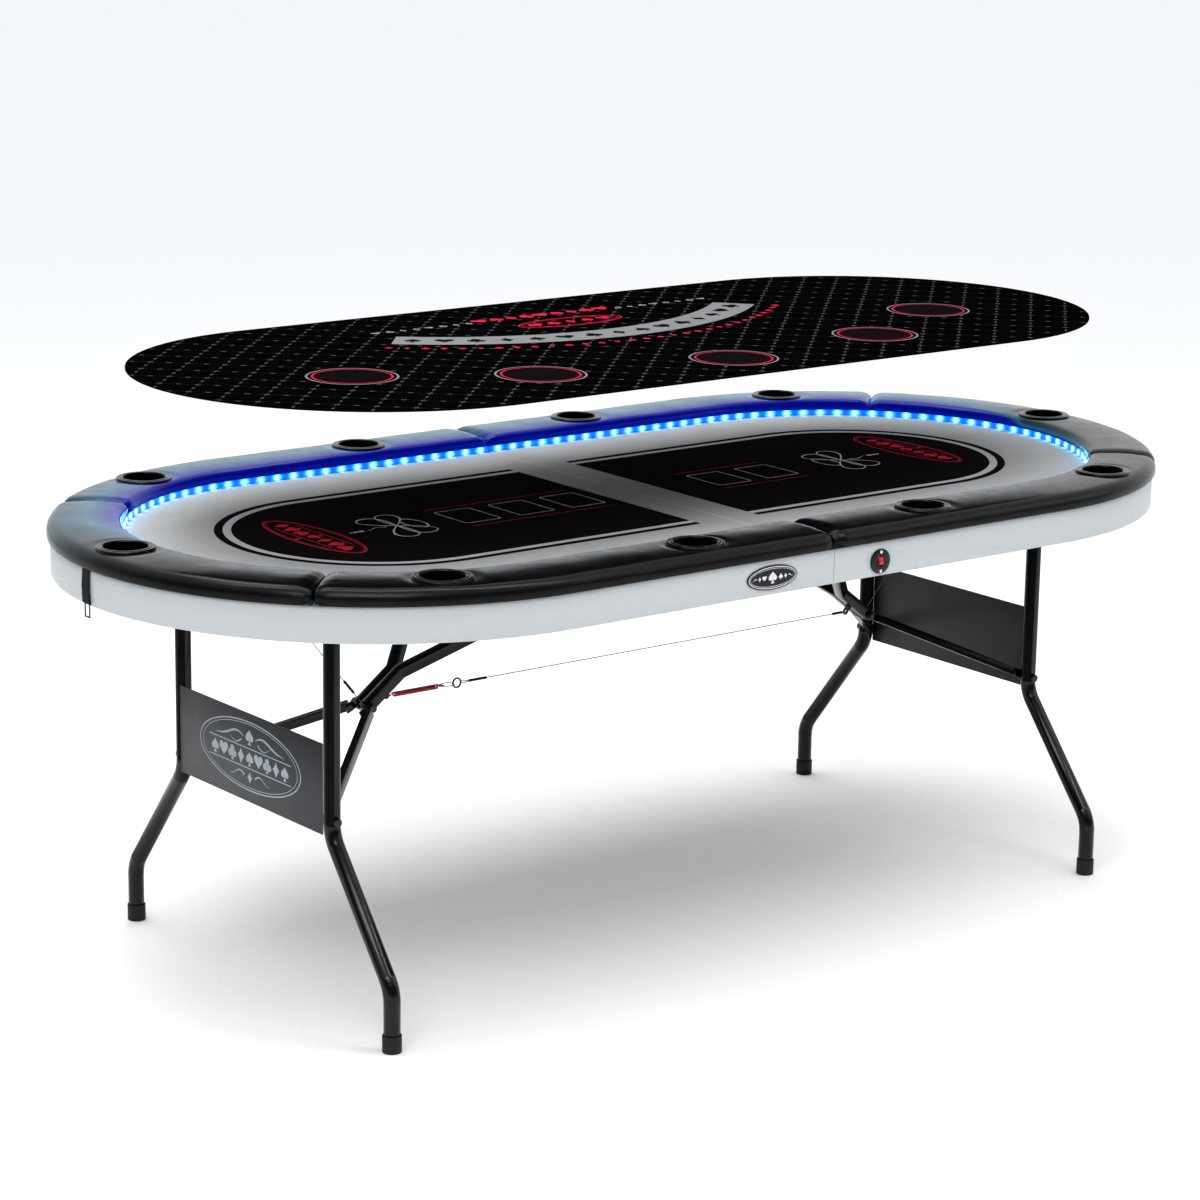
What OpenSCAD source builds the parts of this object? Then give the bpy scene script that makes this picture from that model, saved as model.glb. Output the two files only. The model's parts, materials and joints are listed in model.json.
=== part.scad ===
// Folding blackjack and card table: stadium top in two hinged halves, padded rail with cup holders,
// lit playfield well, two folding wishbone leg frames and a lift-off game mat.
// Millimetres, +Z up, +X along the table, origin on the floor under its centre.

/* [Top] */
// Half length of the straight middle of the top
straight_half = 525; // [400:1:700]
// Outer radius of the padded rail
rail_r = 534; // [480:1:600]
// Inner radius of the padded rail, the edge of the well
well_r = 413; // [360:1:450]
// Outer radius of the apron
apron_r = 528.5; // [470:0.5:590]
// Thickness of the apron
apron_t = 12; // [6:1:18]
// Height of the apron's lower edge above the floor
apron_low = 672.5; // [620:0.5:680]
// Height of the rail's underside above the floor
rail_low = 730; // [726:1:736]
// Height of the rail's crown above the floor
rail_top = 762; // [754:1:780]
// Thickness of the underside board
board_t = 8; // [5:1:12]
// Thickness of the foam playfield with its cloth
playfield_t = 7; // [4:1:8]

/* [Cup holders] */
// Radius, from the rail's arc centre, on which the cup holders sit
cup_ring_r = 472; // [468:1:478]
// Distance of the straight-side cup holders from the fold
cup_x = 244; // [200:1:300]
// Angle of the corner cup holders from the table's cross axis
cup_angle = 22.5; // [18:0.5:27]
// Inner diameter of a cup holder
cup_d = 70; // [60:1:72]
// Depth of a cup holder below the crown
cup_depth = 60; // [40:1:70]
// Diameter of a cup holder's flange
flange_d = 95; // [86:1:100]

/* [Legs] */
// Distance of each leg frame from the fold
leg_x = 763; // [740:1:790]
// Distance of the upright tubes from the centre line
leg_y = 221; // [200:1:240]
// Distance of the feet from the centre line
foot_y = 387; // [340:1:420]
// Height of the leg frame's pivot above the floor
pivot_z = 690; // [688:1:692]
// Height of the upper bend of each leg tube
bend_high = 308; // [300:1:320]
// Height of the lower bend of each leg tube
bend_low = 100; // [80:1:140]
// Diameter of the leg tubes
tube_d = 27; // [22:1:28]
// Wall of the tubes
tube_wall = 1.5; // [1:0.1:2]
// Height of the modesty panel's lower edge
panel_low = 309; // [300:1:320]
// Height of the modesty panel
panel_h = 149; // [100:1:160]

/* [Braces] */
// Distance of the brace hub from the fold
hub_x = 553; // [545:1:556]
// Height of the brace hub above the floor
hub_z = 437; // [430:1:445]
// Height of the lower brace's pivot on the leg tube
knee_z = 333; // [325:1:340]
// Distance of the upper braces' anchors from the centre line
anchor_y = 250; // [200:1:300]
// Height of the upper braces' anchors
anchor_z = 697; // [694:1:700]

/* [Mat] */
// Half length of the lift-off game mat
mat_half_l = 930; // [800:1:932]
// Half width of the lift-off game mat
mat_half_w = 400; // [340:1:404]
// Height at which the lifted mat is shown
mat_z = 1000; // [740:1:1100]
// Thickness of the mat
mat_t = 2.5; // [1:0.5:4]

/* [Hidden] */
$fn = 96;

left = -1;
right = 1;
sides = [left, right];
fold_gap = 0.4;
touch_gap = 0.3;

// layers of the top, from the underside board up
board_top = rail_low + 1 - playfield_t;
board_low = board_top - board_t;
playfield_top = rail_low + 1;

// cup holders, as centres on the left half
cup_wall = 2;
flange_t = 3;
flange_sunk = 1.5;
flange_bevel = 3;
cup_centres = concat(
    [[-straight_half - cup_ring_r, 0]],
    [for (s = sides) [-straight_half - cup_ring_r * sin(cup_angle), s * cup_ring_r * cos(cup_angle)]],
    [for (s = sides) [-cup_x, s * cup_ring_r]]
);
cup_hole_r = cup_d / 2 + cup_wall + 1;

// rail pads
pad_seam_angle = 45;
pad_seam_gap = 0.6;
pad_outer_round = 20;
pad_inner_round = 15;
pad_round_steps = 7;

// light strip round the well, and its chips
led_pitch = 33.3;
led_low = playfield_top + 0.3;
led_h = 10;
led_t = 3;
chip = 5;
chip_t = 1.5;
led_face_r = well_r - 0.1 - led_t;
led_path_l = 2 * straight_half + PI * led_face_r;
led_count = floor(led_path_l / led_pitch);

// centre fold
beam_w = 19;
beam_off = 2;
beam_half_l = 470;
hinge_barrel_r = 4;
hinge_axis_z = apron_low - hinge_barrel_r;
hinge_pin_r = 2;
hinge_y = 330;
hinge_l = 80;
knuckles = 5;
leaf_l = 34;
leaf_t = 2;

// leg frame
splay = atan2(foot_y - leg_y, bend_high - bend_low);
bend_r = 60;
bend_tangent = bend_r * tan(splay / 2);
bend_swell = 0.1;
bend_lap = 1;
crossbar_d = 22;
saddle_y = 110;
saddle_l = 24;
saddle_wall = 3;
saddle_foot_l = 64;
panel_t = 1.4;
panel_off = 11;
cap_h = 28;
cap_wall = 2;
bolt_r = 4;
bolt_head_r = 7;
bolt_head_t = 4.5;
run_gap = 0.05;

// braces: the frame swings in by 90 degrees, and the braces then lie flat along its plane
lower_t = 14;
upper_t = 18;
boss_r = 10;
lug_r = 9;
lug_t = 5;
lug_lap = 12;
brace_wall = 1.5;
upper_y = 10;
knee_fold_x = -leg_x + pivot_z - knee_z;
lower_l = norm([leg_x - hub_x, hub_z - knee_z]);
lower_pitch = atan2(hub_z - knee_z, leg_x - hub_x);
hub_fold_x = knee_fold_x - lower_l;
anchor_x = (pow(hub_fold_x, 2) - pow(hub_x, 2) + pow(anchor_z - pivot_z, 2) - pow(anchor_z - hub_z, 2))
    / (2 * (hub_fold_x + hub_x));
upper_l = norm([anchor_x + hub_x, anchor_z - hub_z]);
upper_pitch = atan2(anchor_z - hub_z, anchor_x + hub_x);
straight_l = 82;
tip_l = 24;
knee_y = leg_y - tube_d / 2 - touch_gap - lug_t;
hub_lug_y = upper_y + upper_t / 2 + touch_gap;

// tension cable between the two hubs
cable_z = 446;
cable_r = 0.8;
sleeve_r = 2;
spring_x = [-500, -400];
spring_r = 4.5;
ring_x = -365;
ring_r = 8;
ring_wire_r = 1.5;
left_sleeve_x = [-341, -303];
right_sleeve_x = [476, 500];
tab_x = -508;
tab_t = 1.8;
tab_r = 6;
tab_eye_r = 2.5;
eye = [(tab_x + hub_x) * cos(upper_pitch) + (cable_z - hub_z) * sin(upper_pitch),
    -(tab_x + hub_x) * sin(upper_pitch) + (cable_z - hub_z) * cos(upper_pitch)];

// release wire from each hub to its leg crossbar, with a sleeve on the left one
wire_hub = [-hub_x, 0, hub_z];
wire_top = [-754, 0, 679];
wire_dir = (wire_top - wire_hub) / norm(wire_top - wire_hub);
wire_start = boss_r + touch_gap;
wire_sleeve = [31, 61];
wire_r = 0.7;

// strap and clip on the left end
strap_y = 20;
strap_w = 20;
strap_t = 1.8;
strap_low = 678;
strap_x = -straight_half - apron_r - touch_gap;
clip_l = 24;
clip_w = 16;
clip_rod = 1.6;
clip_bar = 2.5;
clip_hinge_r = 1;
clip_hinge_out = 1;

// badge, switch and battery box
badge_at = [-130, 701];
badge_size = [98, 36];
badge_t = 2;
switch_at = [99, 697];
switch_r = 20.5;
switch_plate_t = 2.5;
switch_body_r = 13;
switch_body_l = 22;
switch_screw_off = 16;
switch_screw_r = 1.5;
switch_screw_head_t = 1.2;
rocker_r = 8;
rocker_l = 9;
rocker_depth = 5;
battery_at = [60, -470];
battery_size = [92, 62, 24];
battery_wall = 2;
battery_cover_t = 2;
battery_latch = [12, 3, 6];

// ---------------------------------------------------------------- helpers

// The left half is modelled, and the right half is its mirror image.
module on_side(side) {
    mirror([side > 0 ? 1 : 0, 0, 0]) children();
}

// Half of the stadium plan, left of the fold, with the given radius.
module half_plan(r, gap = fold_gap) {
    translate([-straight_half, -r]) square([straight_half - gap, 2 * r]);
    intersection() {
        translate([-straight_half, 0]) circle(r);
        translate([-straight_half - r, -r]) square([r, 2 * r]);
    }
}

module at_cups() {
    for (c = cup_centres) translate(c) children();
}

// Cylinder along Y between two distances from the centre line.
module rod_y(r, y0, y1) {
    translate([0, y0, 0]) rotate([-90, 0, 0]) cylinder(r = r, h = y1 - y0);
}

// Cylinder between two points.
module rod(a, b, r) {
    v = b - a;
    translate(a)
        rotate([0, acos(v[2] / norm(v)), atan2(v[1], v[0])])
            cylinder(r = r, h = norm(v), $fn = 24);
}

// The side of a flat path, off to its left by the given distance, with mitred corners.
function path_side(points, off) = [
    for (i = [0 : len(points) - 1])
        let (
            last = len(points) - 1,
            before = points[max(i, 1)] - points[max(i, 1) - 1],
            after = points[min(i + 1, last)] - points[min(i + 1, last) - 1],
            n1 = [-before[1], before[0]] / norm(before),
            n2 = [-after[1], after[0]] / norm(after)
        )
        points[i] + off * (n1 + n2) / (1 + n1 * n2)
];

// Flat path of the given width through 2D points.
module path_plan(points, w) {
    right_side = path_side(points, -w / 2);
    polygon(concat(path_side(points, w / 2), [for (i = [len(points) - 1 : -1 : 0]) right_side[i]]));
}

// ---------------------------------------------------------------- top

module board() {
    color([0.06, 0.06, 0.07])
        difference() {
            translate([0, 0, board_low])
                linear_extrude(board_t) half_plan(apron_r - apron_t - touch_gap);
            at_cups() translate([0, 0, board_low - 1]) cylinder(r = cup_hole_r, h = board_t + 2);
        }
}

module rail_base() {
    color([0.6, 0.48, 0.33])
        difference() {
            translate([0, 0, board_top])
                linear_extrude(rail_low - board_top)
                    difference() {
                        half_plan(apron_r - apron_t - touch_gap);
                        half_plan(well_r, -1);
                    }
            at_cups() translate([0, 0, board_top - 1]) cylinder(r = cup_hole_r, h = 20);
        }
}

module apron() {
    color([0.75, 0.76, 0.78])
        translate([0, 0, apron_low])
            linear_extrude(rail_low - apron_low)
                difference() {
                    half_plan(apron_r);
                    half_plan(apron_r - apron_t, -1);
                }
}

// The front apron of the right half has a round hole behind the switch plate.
module right_apron() {
    color([0.75, 0.76, 0.78])
        difference() {
            on_side(right) apron();
            translate([switch_at[0], -apron_r, switch_at[1]])
                rod_y(switch_body_r + touch_gap, -1, apron_t + 1);
        }
}

module playfield() {
    color([0.45, 0.45, 0.46])
        translate([0, 0, board_top]) linear_extrude(playfield_t) half_plan(well_r - touch_gap);
}

function corner_arc(c, r, a0, a1) =
    [for (i = [0 : pad_round_steps]) let (a = a0 + (a1 - a0) * i / pad_round_steps)
        c + r * [cos(a), sin(a)]];

// Section of the rail, as distance from the arc centre and height.
rail_section = concat(
    [[well_r, rail_low], [rail_r, rail_low]],
    corner_arc([rail_r - pad_outer_round, rail_top - 3 - pad_outer_round], pad_outer_round, 0, 80),
    [[(rail_r + well_r) / 2, rail_top]],
    corner_arc([well_r + pad_inner_round, rail_top - 2 - pad_inner_round], pad_inner_round, 100, 180)
);

module rail_arc(a0, a1) {
    translate([-straight_half, 0, 0])
        rotate([0, 0, a0]) rotate_extrude(angle = a1 - a0, $fn = 180) polygon(rail_section);
}

module rail_straight() {
    translate([-straight_half, 0, 0])
        rotate([90, 0, 90]) linear_extrude(straight_half - pad_seam_gap) polygon(rail_section);
}

// Each pad is bored for its cup holders and counterbored for their flanges.
module bored_pad() {
    difference() {
        children();
        at_cups() {
            translate([0, 0, rail_low - 1]) cylinder(r = cup_hole_r, h = rail_top);
            translate([0, 0, rail_top - flange_t + 1]) cylinder(d = flange_d + 1, h = 2 * flange_t);
        }
    }
}

module end_pad() {
    seam = pad_seam_gap / rail_r * 90;
    color([0.05, 0.05, 0.055])
        bored_pad() rail_arc(180 - pad_seam_angle + seam, 180 + pad_seam_angle - seam);
}

module side_pad(s) {
    color([0.05, 0.05, 0.055])
        bored_pad()
            mirror([0, s > 0 ? 0 : 1, 0]) {
                rail_straight();
                rail_arc(90, 180 - pad_seam_angle);
            }
}

module cup_holders() {
    outer_r = cup_d / 2 + cup_wall;
    color([0.04, 0.04, 0.045])
        at_cups()
            translate([0, 0, rail_top - cup_depth])
                difference() {
                    union() {
                        cylinder(r = outer_r, h = cup_depth);
                        translate([0, 0, cup_depth - flange_sunk]) cylinder(d = flange_d, h = flange_t - 1);
                        translate([0, 0, cup_depth - flange_sunk + flange_t - 1])
                            cylinder(d1 = flange_d, d2 = flange_d - 2 * flange_bevel, h = flange_sunk);
                    }
                    translate([0, 0, cup_wall]) cylinder(d = cup_d, h = cup_depth + 10);
                }
}

module led_strip() {
    color([0.85, 0.9, 0.95])
        translate([0, 0, led_low])
            linear_extrude(led_h)
                difference() {
                    half_plan(well_r - 0.1, 1);
                    half_plan(led_face_r, -1);
                }
}

// Place and heading of a point that lies l along the strip from the fold, back side first.
function led_spot(l) =
    let (arc = PI * led_face_r)
    l < straight_half ? [-l, led_face_r, 0]
    : l < straight_half + arc
        ? let (a = 90 + (l - straight_half) / arc * 180)
            [-straight_half + led_face_r * cos(a), led_face_r * sin(a), a - 90]
        : [-(2 * straight_half + arc - l), -led_face_r, 180];

module led_chips() {
    first = (led_path_l - (led_count - 1) * led_pitch) / 2;
    color([0.3, 0.7, 1])
        for (i = [0 : led_count - 1]) {
            spot = led_spot(first + i * led_pitch);
            translate([spot[0], spot[1], led_low + led_h / 2])
                rotate([0, 0, spot[2]])
                    translate([-chip / 2, -chip_t - 0.02, -chip / 2]) cube([chip, chip_t, chip]);
        }
}

// ---------------------------------------------------------------- centre fold

module centre_beam() {
    color([0.08, 0.08, 0.09])
        translate([-beam_off - beam_w, -beam_half_l, apron_low])
            cube([beam_w, 2 * beam_half_l, board_low - apron_low]);
}

// One half of a butt hinge: a leaf under the beam, and every other knuckle from the given first one.
module hinge_leaf(first) {
    knuckle_l = hinge_l / knuckles;
    for (i = [0 : knuckles - 1])
        if (i % 2 == first)
            translate([0, -hinge_l / 2 + i * knuckle_l + touch_gap / 2, hinge_axis_z])
                difference() {
                    union() {
                        rod_y(hinge_barrel_r, 0, knuckle_l - touch_gap);
                        translate([-leaf_l, 0, hinge_barrel_r - leaf_t])
                            cube([leaf_l, knuckle_l - touch_gap, leaf_t]);
                    }
                    rod_y(hinge_pin_r + run_gap, -1, knuckle_l + 1);
                }
    translate([-leaf_l, -hinge_l / 2, hinge_axis_z + hinge_barrel_r - leaf_t])
        cube([leaf_l - hinge_barrel_r - 2, hinge_l, leaf_t]);
}

module hinge_leaves(first) {
    color([0.55, 0.56, 0.58])
        for (s = sides) translate([0, s * hinge_y, 0]) hinge_leaf(first);
}

module hinge_pins() {
    color([0.7, 0.7, 0.72])
        for (s = sides)
            translate([0, s * hinge_y, hinge_axis_z]) rod_y(hinge_pin_r, -hinge_l / 2 - 1, hinge_l / 2 + 1);
}

// ---------------------------------------------------------------- brackets under the board

// Saddle that holds the leg frame's crossbar, screwed up into the board.
module saddle() {
    outer_r = crossbar_d / 2 + saddle_wall;
    drop = board_low - pivot_z;
    difference() {
        union() {
            rod_y(outer_r, -saddle_l / 2, saddle_l / 2);
            translate([-outer_r, -saddle_l / 2, 0]) cube([2 * outer_r, saddle_l, drop]);
            translate([-saddle_foot_l / 2, -saddle_l / 2, drop - saddle_wall])
                cube([saddle_foot_l, saddle_l, saddle_wall]);
        }
        rod_y(crossbar_d / 2 + run_gap, -saddle_l, saddle_l);
    }
}

// Two-eared anchor of an upper brace, with its pin.
module anchor() {
    ear_in = upper_t / 2 + touch_gap;
    ear_t = 3;
    foot_l = 15;
    foot_t = 2;
    pin_end = ear_in + ear_t + 1;
    drop = board_low - anchor_z;
    for (s = sides)
        mirror([0, s > 0 ? 0 : 1, 0]) {
            rod_y(lug_r, ear_in, ear_in + ear_t);
            translate([-lug_r, ear_in, 0]) cube([2 * lug_r, ear_t, drop]);
            translate([-lug_r, ear_in, drop - foot_t]) cube([2 * lug_r, foot_l, foot_t]);
        }
    rod_y(bolt_r, -pin_end, pin_end);
}

module brackets() {
    color([0.07, 0.07, 0.08]) {
        for (s = sides) translate([-leg_x, s * saddle_y, pivot_z]) saddle();
        for (s = sides) translate([anchor_x, s * anchor_y, anchor_z]) anchor();
    }
}

// ---------------------------------------------------------------- leg frame

// s is -1 for the front tube and 1 for the back one. The tube runs upright, splays and ends in its foot.
// The bends have a wall thicker by bend_swell each way, and the straight lengths run bend_lap into them.
module leg_tube(s) {
    module section(swell = 0) {
        difference() {
            circle(d = tube_d + 2 * swell, $fn = 48);
            circle(d = tube_d - 2 * tube_wall - 2 * swell, $fn = 48);
        }
    }
    module bend() {
        rotate([90, 0, 90]) rotate_extrude(angle = splay) translate([bend_r, 0]) section(bend_swell);
    }
    dir = [0, sin(splay), -cos(splay)];
    high = [0, leg_y, bend_high];
    low = [0, foot_y, bend_low];
    upright_low = bend_high + bend_tangent;
    upright_l = pivot_z + crossbar_d / 2 - upright_low;
    slant_l = norm(low - high) - 2 * bend_tangent;
    foot_low = cap_wall + 1;
    foot_high = bend_low - bend_tangent;
    color([0.03, 0.03, 0.035])
        translate([-leg_x, 0, 0])
            mirror([0, s > 0 ? 0 : 1, 0]) {
                difference() {
                    translate([0, leg_y, upright_low - bend_lap])
                        linear_extrude(upright_l + bend_lap) section();
                    translate([0, 0, knee_z]) rod_y(bolt_r, leg_y - tube_d, leg_y + tube_d);
                }
                translate([0, leg_y + bend_r, upright_low]) rotate([180, 0, 0]) bend();
                translate(high + (bend_tangent - bend_lap) * dir)
                    rotate([splay - 180, 0, 0]) linear_extrude(slant_l + 2 * bend_lap) section();
                translate([0, foot_y - bend_r, foot_high]) bend();
                translate([0, foot_y, foot_low]) linear_extrude(foot_high - foot_low + bend_lap) section();
            }
}

module leg_crossbar() {
    reach = leg_y - tube_d / 2;
    color([0.03, 0.03, 0.035])
        translate([-leg_x, 0, pivot_z])
            difference() {
                rod_y(crossbar_d / 2, -reach, reach);
                rod_y(crossbar_d / 2 - tube_wall, -reach - 1, reach + 1);
                for (s = sides) translate([0, s * leg_y, -50]) cylinder(d = tube_d, h = 100, $fn = 48);
            }
}

module leg_panel() {
    color([0.23, 0.25, 0.27])
        translate([-leg_x - panel_off - panel_t / 2, 0, panel_low])
            difference() {
                translate([0, -leg_y, 0]) cube([panel_t, 2 * leg_y, panel_h]);
                for (s = sides)
                    translate([panel_off + panel_t / 2, s * leg_y, -1])
                        cylinder(d = tube_d + 2 * touch_gap, h = panel_h + 2, $fn = 48);
                for (s = sides)
                    translate([-1, s > 0 ? leg_y : -2 * leg_y, -1]) cube([4, leg_y, panel_h + 2]);
            }
}

module foot_caps() {
    color([0.05, 0.05, 0.05])
        for (s = sides)
            translate([-leg_x, s * foot_y, 0])
                difference() {
                    cylinder(r = tube_d / 2 + cap_wall, h = cap_h);
                    translate([0, 0, cap_wall + 1]) cylinder(d = tube_d, h = cap_h);
                }
}

// Each bolt runs from its head outside the tube, through the tube and the lower brace's lug, to its nut.
module leg_bolts() {
    inner = knee_y - touch_gap;
    color([0.5, 0.5, 0.52])
        for (s = sides)
            translate([-leg_x, 0, knee_z])
                mirror([0, s > 0 ? 0 : 1, 0]) {
                    rod_y(bolt_r, inner - bolt_head_t, leg_y + tube_d / 2);
                    rod_y(bolt_head_r, leg_y + tube_d / 2, leg_y + tube_d / 2 + bolt_head_t);
                    translate([0, inner, 0])
                        rotate([90, 0, 0]) cylinder(r = bolt_head_r, h = bolt_head_t, $fn = 6);
                }
}

// ---------------------------------------------------------------- braces

// Box-section tube in the local XY plane, open at both ends.
module box_strut(points, w, t) {
    difference() {
        linear_extrude(t, center = true) path_plan(points, w);
        linear_extrude(t - 2 * brace_wall, center = true) path_plan(points, w - 2 * brace_wall);
    }
}

module lower_braces() {
    start = [lug_r + 1, knee_y - 2.5];
    end = [lower_l - lug_r - 2, hub_lug_y + 10];
    color([0.06, 0.065, 0.07])
        translate([-leg_x, 0, knee_z])
            rotate([0, -lower_pitch, 0])
                for (s = sides)
                    mirror([0, s > 0 ? 0 : 1, 0])
                        difference() {
                            union() {
                                box_strut([start, end], lower_t, lower_t);
                                rod_y(lug_r, knee_y, knee_y + lug_t);
                                translate([0, knee_y, -lower_t / 2])
                                    cube([start[0] + lug_lap, lug_t, lower_t]);
                                translate([lower_l, 0, 0]) rod_y(lug_r, hub_lug_y, hub_lug_y + lug_t);
                                translate([end[0] - lug_lap, hub_lug_y, -lower_t / 2])
                                    cube([lower_l - end[0] + lug_lap, lug_t, lower_t]);
                            }
                            rod_y(bolt_r + run_gap, knee_y - 20, knee_y + lug_t + 20);
                            translate([lower_l, 0, 0]) rod_y(bolt_r, hub_lug_y - 1, hub_lug_y + lug_t + 20);
                        }
}

module hub_bolts() {
    color([0.5, 0.5, 0.52])
        for (s = sides)
            translate([-hub_x, 0, hub_z])
                mirror([0, s > 0 ? 0 : 1, 0]) {
                    rod_y(bolt_r, hub_lug_y, hub_lug_y + lug_t);
                    rod_y(bolt_head_r, hub_lug_y + lug_t, hub_lug_y + lug_t + bolt_head_t);
                }
}

// Two box struts run side by side from the hub, then spread to their anchors.
module upper_braces() {
    color([0.04, 0.04, 0.045])
        translate([-hub_x, 0, hub_z])
            rotate([0, -upper_pitch, 0]) {
                for (s = sides)
                    mirror([0, s > 0 ? 0 : 1, 0])
                        difference() {
                            union() {
                                box_strut([[0, upper_y], [straight_l, upper_y],
                                    [upper_l - tip_l, anchor_y], [upper_l, anchor_y]], upper_t, upper_t);
                                rod_y(boss_r, upper_y - upper_t / 2, upper_y + upper_t / 2);
                                translate([upper_l, 0, 0])
                                    rod_y(boss_r, anchor_y - upper_t / 2, anchor_y + upper_t / 2);
                            }
                            translate([upper_l, 0, 0])
                                rod_y(bolt_r + run_gap, anchor_y - 20, anchor_y + 20);
                        }
                rod_y(bolt_r, -upper_y - upper_t / 2, upper_y + upper_t / 2);
                translate([eye[0], 0, 0]) rod_y(bolt_r, -brace_wall, brace_wall);
                cable_tab();
            }
}

// Thin tab between the two struts, with the eye that the tension cable hooks into.
module cable_tab() {
    rotate([90, 0, 0])
        linear_extrude(tab_t, center = true)
            difference() {
                union() {
                    translate(eye) circle(r = tab_r);
                    translate([eye[0] - tab_r, eye[1]]) square([2 * tab_r, upper_t / 2 - eye[1]]);
                }
                translate(eye) circle(r = tab_eye_r);
            }
}

// ---------------------------------------------------------------- cable, wires, strap

module tension_spring() {
    color([0.75, 0.08, 0.1])
        rod([spring_x[0], 0, cable_z], [spring_x[1], 0, cable_z], spring_r);
}

module cable_fittings() {
    color([0.08, 0.08, 0.09]) {
        translate([ring_x, 0, cable_z])
            rotate([90, 0, 0]) rotate_extrude() translate([ring_r, 0]) circle(ring_wire_r, $fn = 24);
        rod([left_sleeve_x[0], 0, cable_z], [left_sleeve_x[1], 0, cable_z], sleeve_r);
        rod([right_sleeve_x[0], 0, cable_z], [right_sleeve_x[1], 0, cable_z], sleeve_r);
        rod(wire_hub + wire_sleeve[0] * wire_dir, wire_hub + wire_sleeve[1] * wire_dir, sleeve_r);
    }
}

module tension_cable() {
    color([0.75, 0.76, 0.78]) {
        rod([spring_x[1], 0, cable_z], [ring_x - ring_r - ring_wire_r, 0, cable_z], cable_r);
        rod([ring_x + ring_r + ring_wire_r, 0, cable_z], [left_sleeve_x[0], 0, cable_z], cable_r);
        rod([left_sleeve_x[1], 0, cable_z], [right_sleeve_x[0], 0, cable_z], cable_r);
    }
}

module release_wire() {
    color([0.75, 0.76, 0.78]) rod(wire_hub + wire_start * wire_dir, wire_top, wire_r);
}

// The left release wire is in two lengths, one on each side of its sleeve.
module sleeved_release_wire() {
    color([0.75, 0.76, 0.78]) {
        rod(wire_hub + wire_start * wire_dir, wire_hub + wire_sleeve[0] * wire_dir, wire_r);
        rod(wire_hub + wire_sleeve[1] * wire_dir, wire_top, wire_r);
    }
}

module strap() {
    color([0.05, 0.05, 0.05])
        translate([strap_x - strap_t, strap_y - strap_w / 2, strap_low])
            cube([strap_t, strap_w, rail_low - strap_low]);
}

// Flat wire clip that hangs below the strap's end and swings on the round bar along its top edge.
module strap_clip() {
    color([0.55, 0.56, 0.58])
        translate([strap_x - strap_t / 2, strap_y, strap_low - touch_gap - clip_hinge_r]) {
            rod_y(clip_hinge_r, -clip_w / 2 - clip_hinge_out, clip_w / 2 + clip_hinge_out);
            rotate([90, 0, 90])
                linear_extrude(clip_rod, center = true)
                    difference() {
                        translate([-clip_w / 2, -clip_l]) square([clip_w, clip_l]);
                        translate([-clip_w / 2 + clip_bar, -clip_l + clip_bar])
                            square([clip_w - 2 * clip_bar, clip_l - 2 * clip_bar]);
                    }
        }
}

// ---------------------------------------------------------------- trim and electrics

module badge() {
    color([0.1, 0.1, 0.11])
        translate([badge_at[0], -apron_r, badge_at[1]])
            rotate([90, 0, 0]) linear_extrude(badge_t) rounded_bar(badge_size);
}

// Bar with half-round ends.
module rounded_bar(size) {
    r = size[1] / 2;
    for (s = sides) translate([s * (size[0] / 2 - r), 0]) circle(r);
    translate([-size[0] / 2 + r, -r]) square([size[0] - 2 * r, size[1]]);
}

module switch_plate() {
    color([0.06, 0.06, 0.065])
        translate([switch_at[0], -apron_r, switch_at[1]])
            difference() {
                union() {
                    rod_y(switch_r, -switch_plate_t, 0);
                    rod_y(switch_body_r, 0, switch_body_l);
                }
                translate([-rocker_l / 2 - touch_gap, -switch_plate_t - 1, -rocker_r - touch_gap])
                    cube([rocker_l + 2 * touch_gap, switch_body_l, 2 * rocker_r + 2 * touch_gap]);
                for (s = sides)
                    translate([0, 0, s * switch_screw_off]) rod_y(switch_screw_r, -switch_plate_t - 1, 1);
            }
}

module switch_screws() {
    color([0.6, 0.6, 0.62])
        for (s = sides)
            translate([switch_at[0], -apron_r - switch_plate_t, switch_at[1] + s * switch_screw_off]) {
                rod_y(2 * switch_screw_r, -switch_screw_head_t, 0);
                rod_y(switch_screw_r, 0, switch_plate_t);
            }
}

module switch_rocker() {
    color([0.75, 0.06, 0.08])
        translate([switch_at[0], -apron_r - switch_plate_t + rocker_depth, switch_at[1]])
            rotate([0, 90, 0])
                difference() {
                    cylinder(r = rocker_r, h = rocker_l, center = true);
                    translate([-rocker_r, -rocker_r - 3, -rocker_l])
                        rotate([0, 0, 8]) cube([rocker_r, 4, 2 * rocker_l]);
                }
}

module battery_box() {
    color([0.07, 0.07, 0.075])
        translate([battery_at[0], battery_at[1], board_low - battery_size[2]])
            difference() {
                cube(battery_size);
                translate([battery_wall, battery_wall, -1])
                    cube(battery_size - [2 * battery_wall, 2 * battery_wall, battery_wall - 1]);
            }
}

module battery_cover() {
    color([0.1, 0.1, 0.105])
        translate([battery_at[0], battery_at[1], board_low - battery_size[2] - battery_cover_t]) {
            cube([battery_size[0], battery_size[1], battery_cover_t]);
            translate([(battery_size[0] - battery_latch[0]) / 2, battery_size[1], 0]) cube(battery_latch);
        }
}

// ---------------------------------------------------------------- mat

module blackjack_mat() {
    end = mat_half_l - mat_half_w;
    color([0.07, 0.07, 0.075])
        translate([0, 0, mat_z])
            linear_extrude(mat_t) {
                for (s = sides) translate([s * end, 0]) circle(mat_half_w);
                translate([-end, -mat_half_w]) square([2 * end, 2 * mat_half_w]);
            }
}

// ---------------------------------------------------------------- nodes

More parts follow.
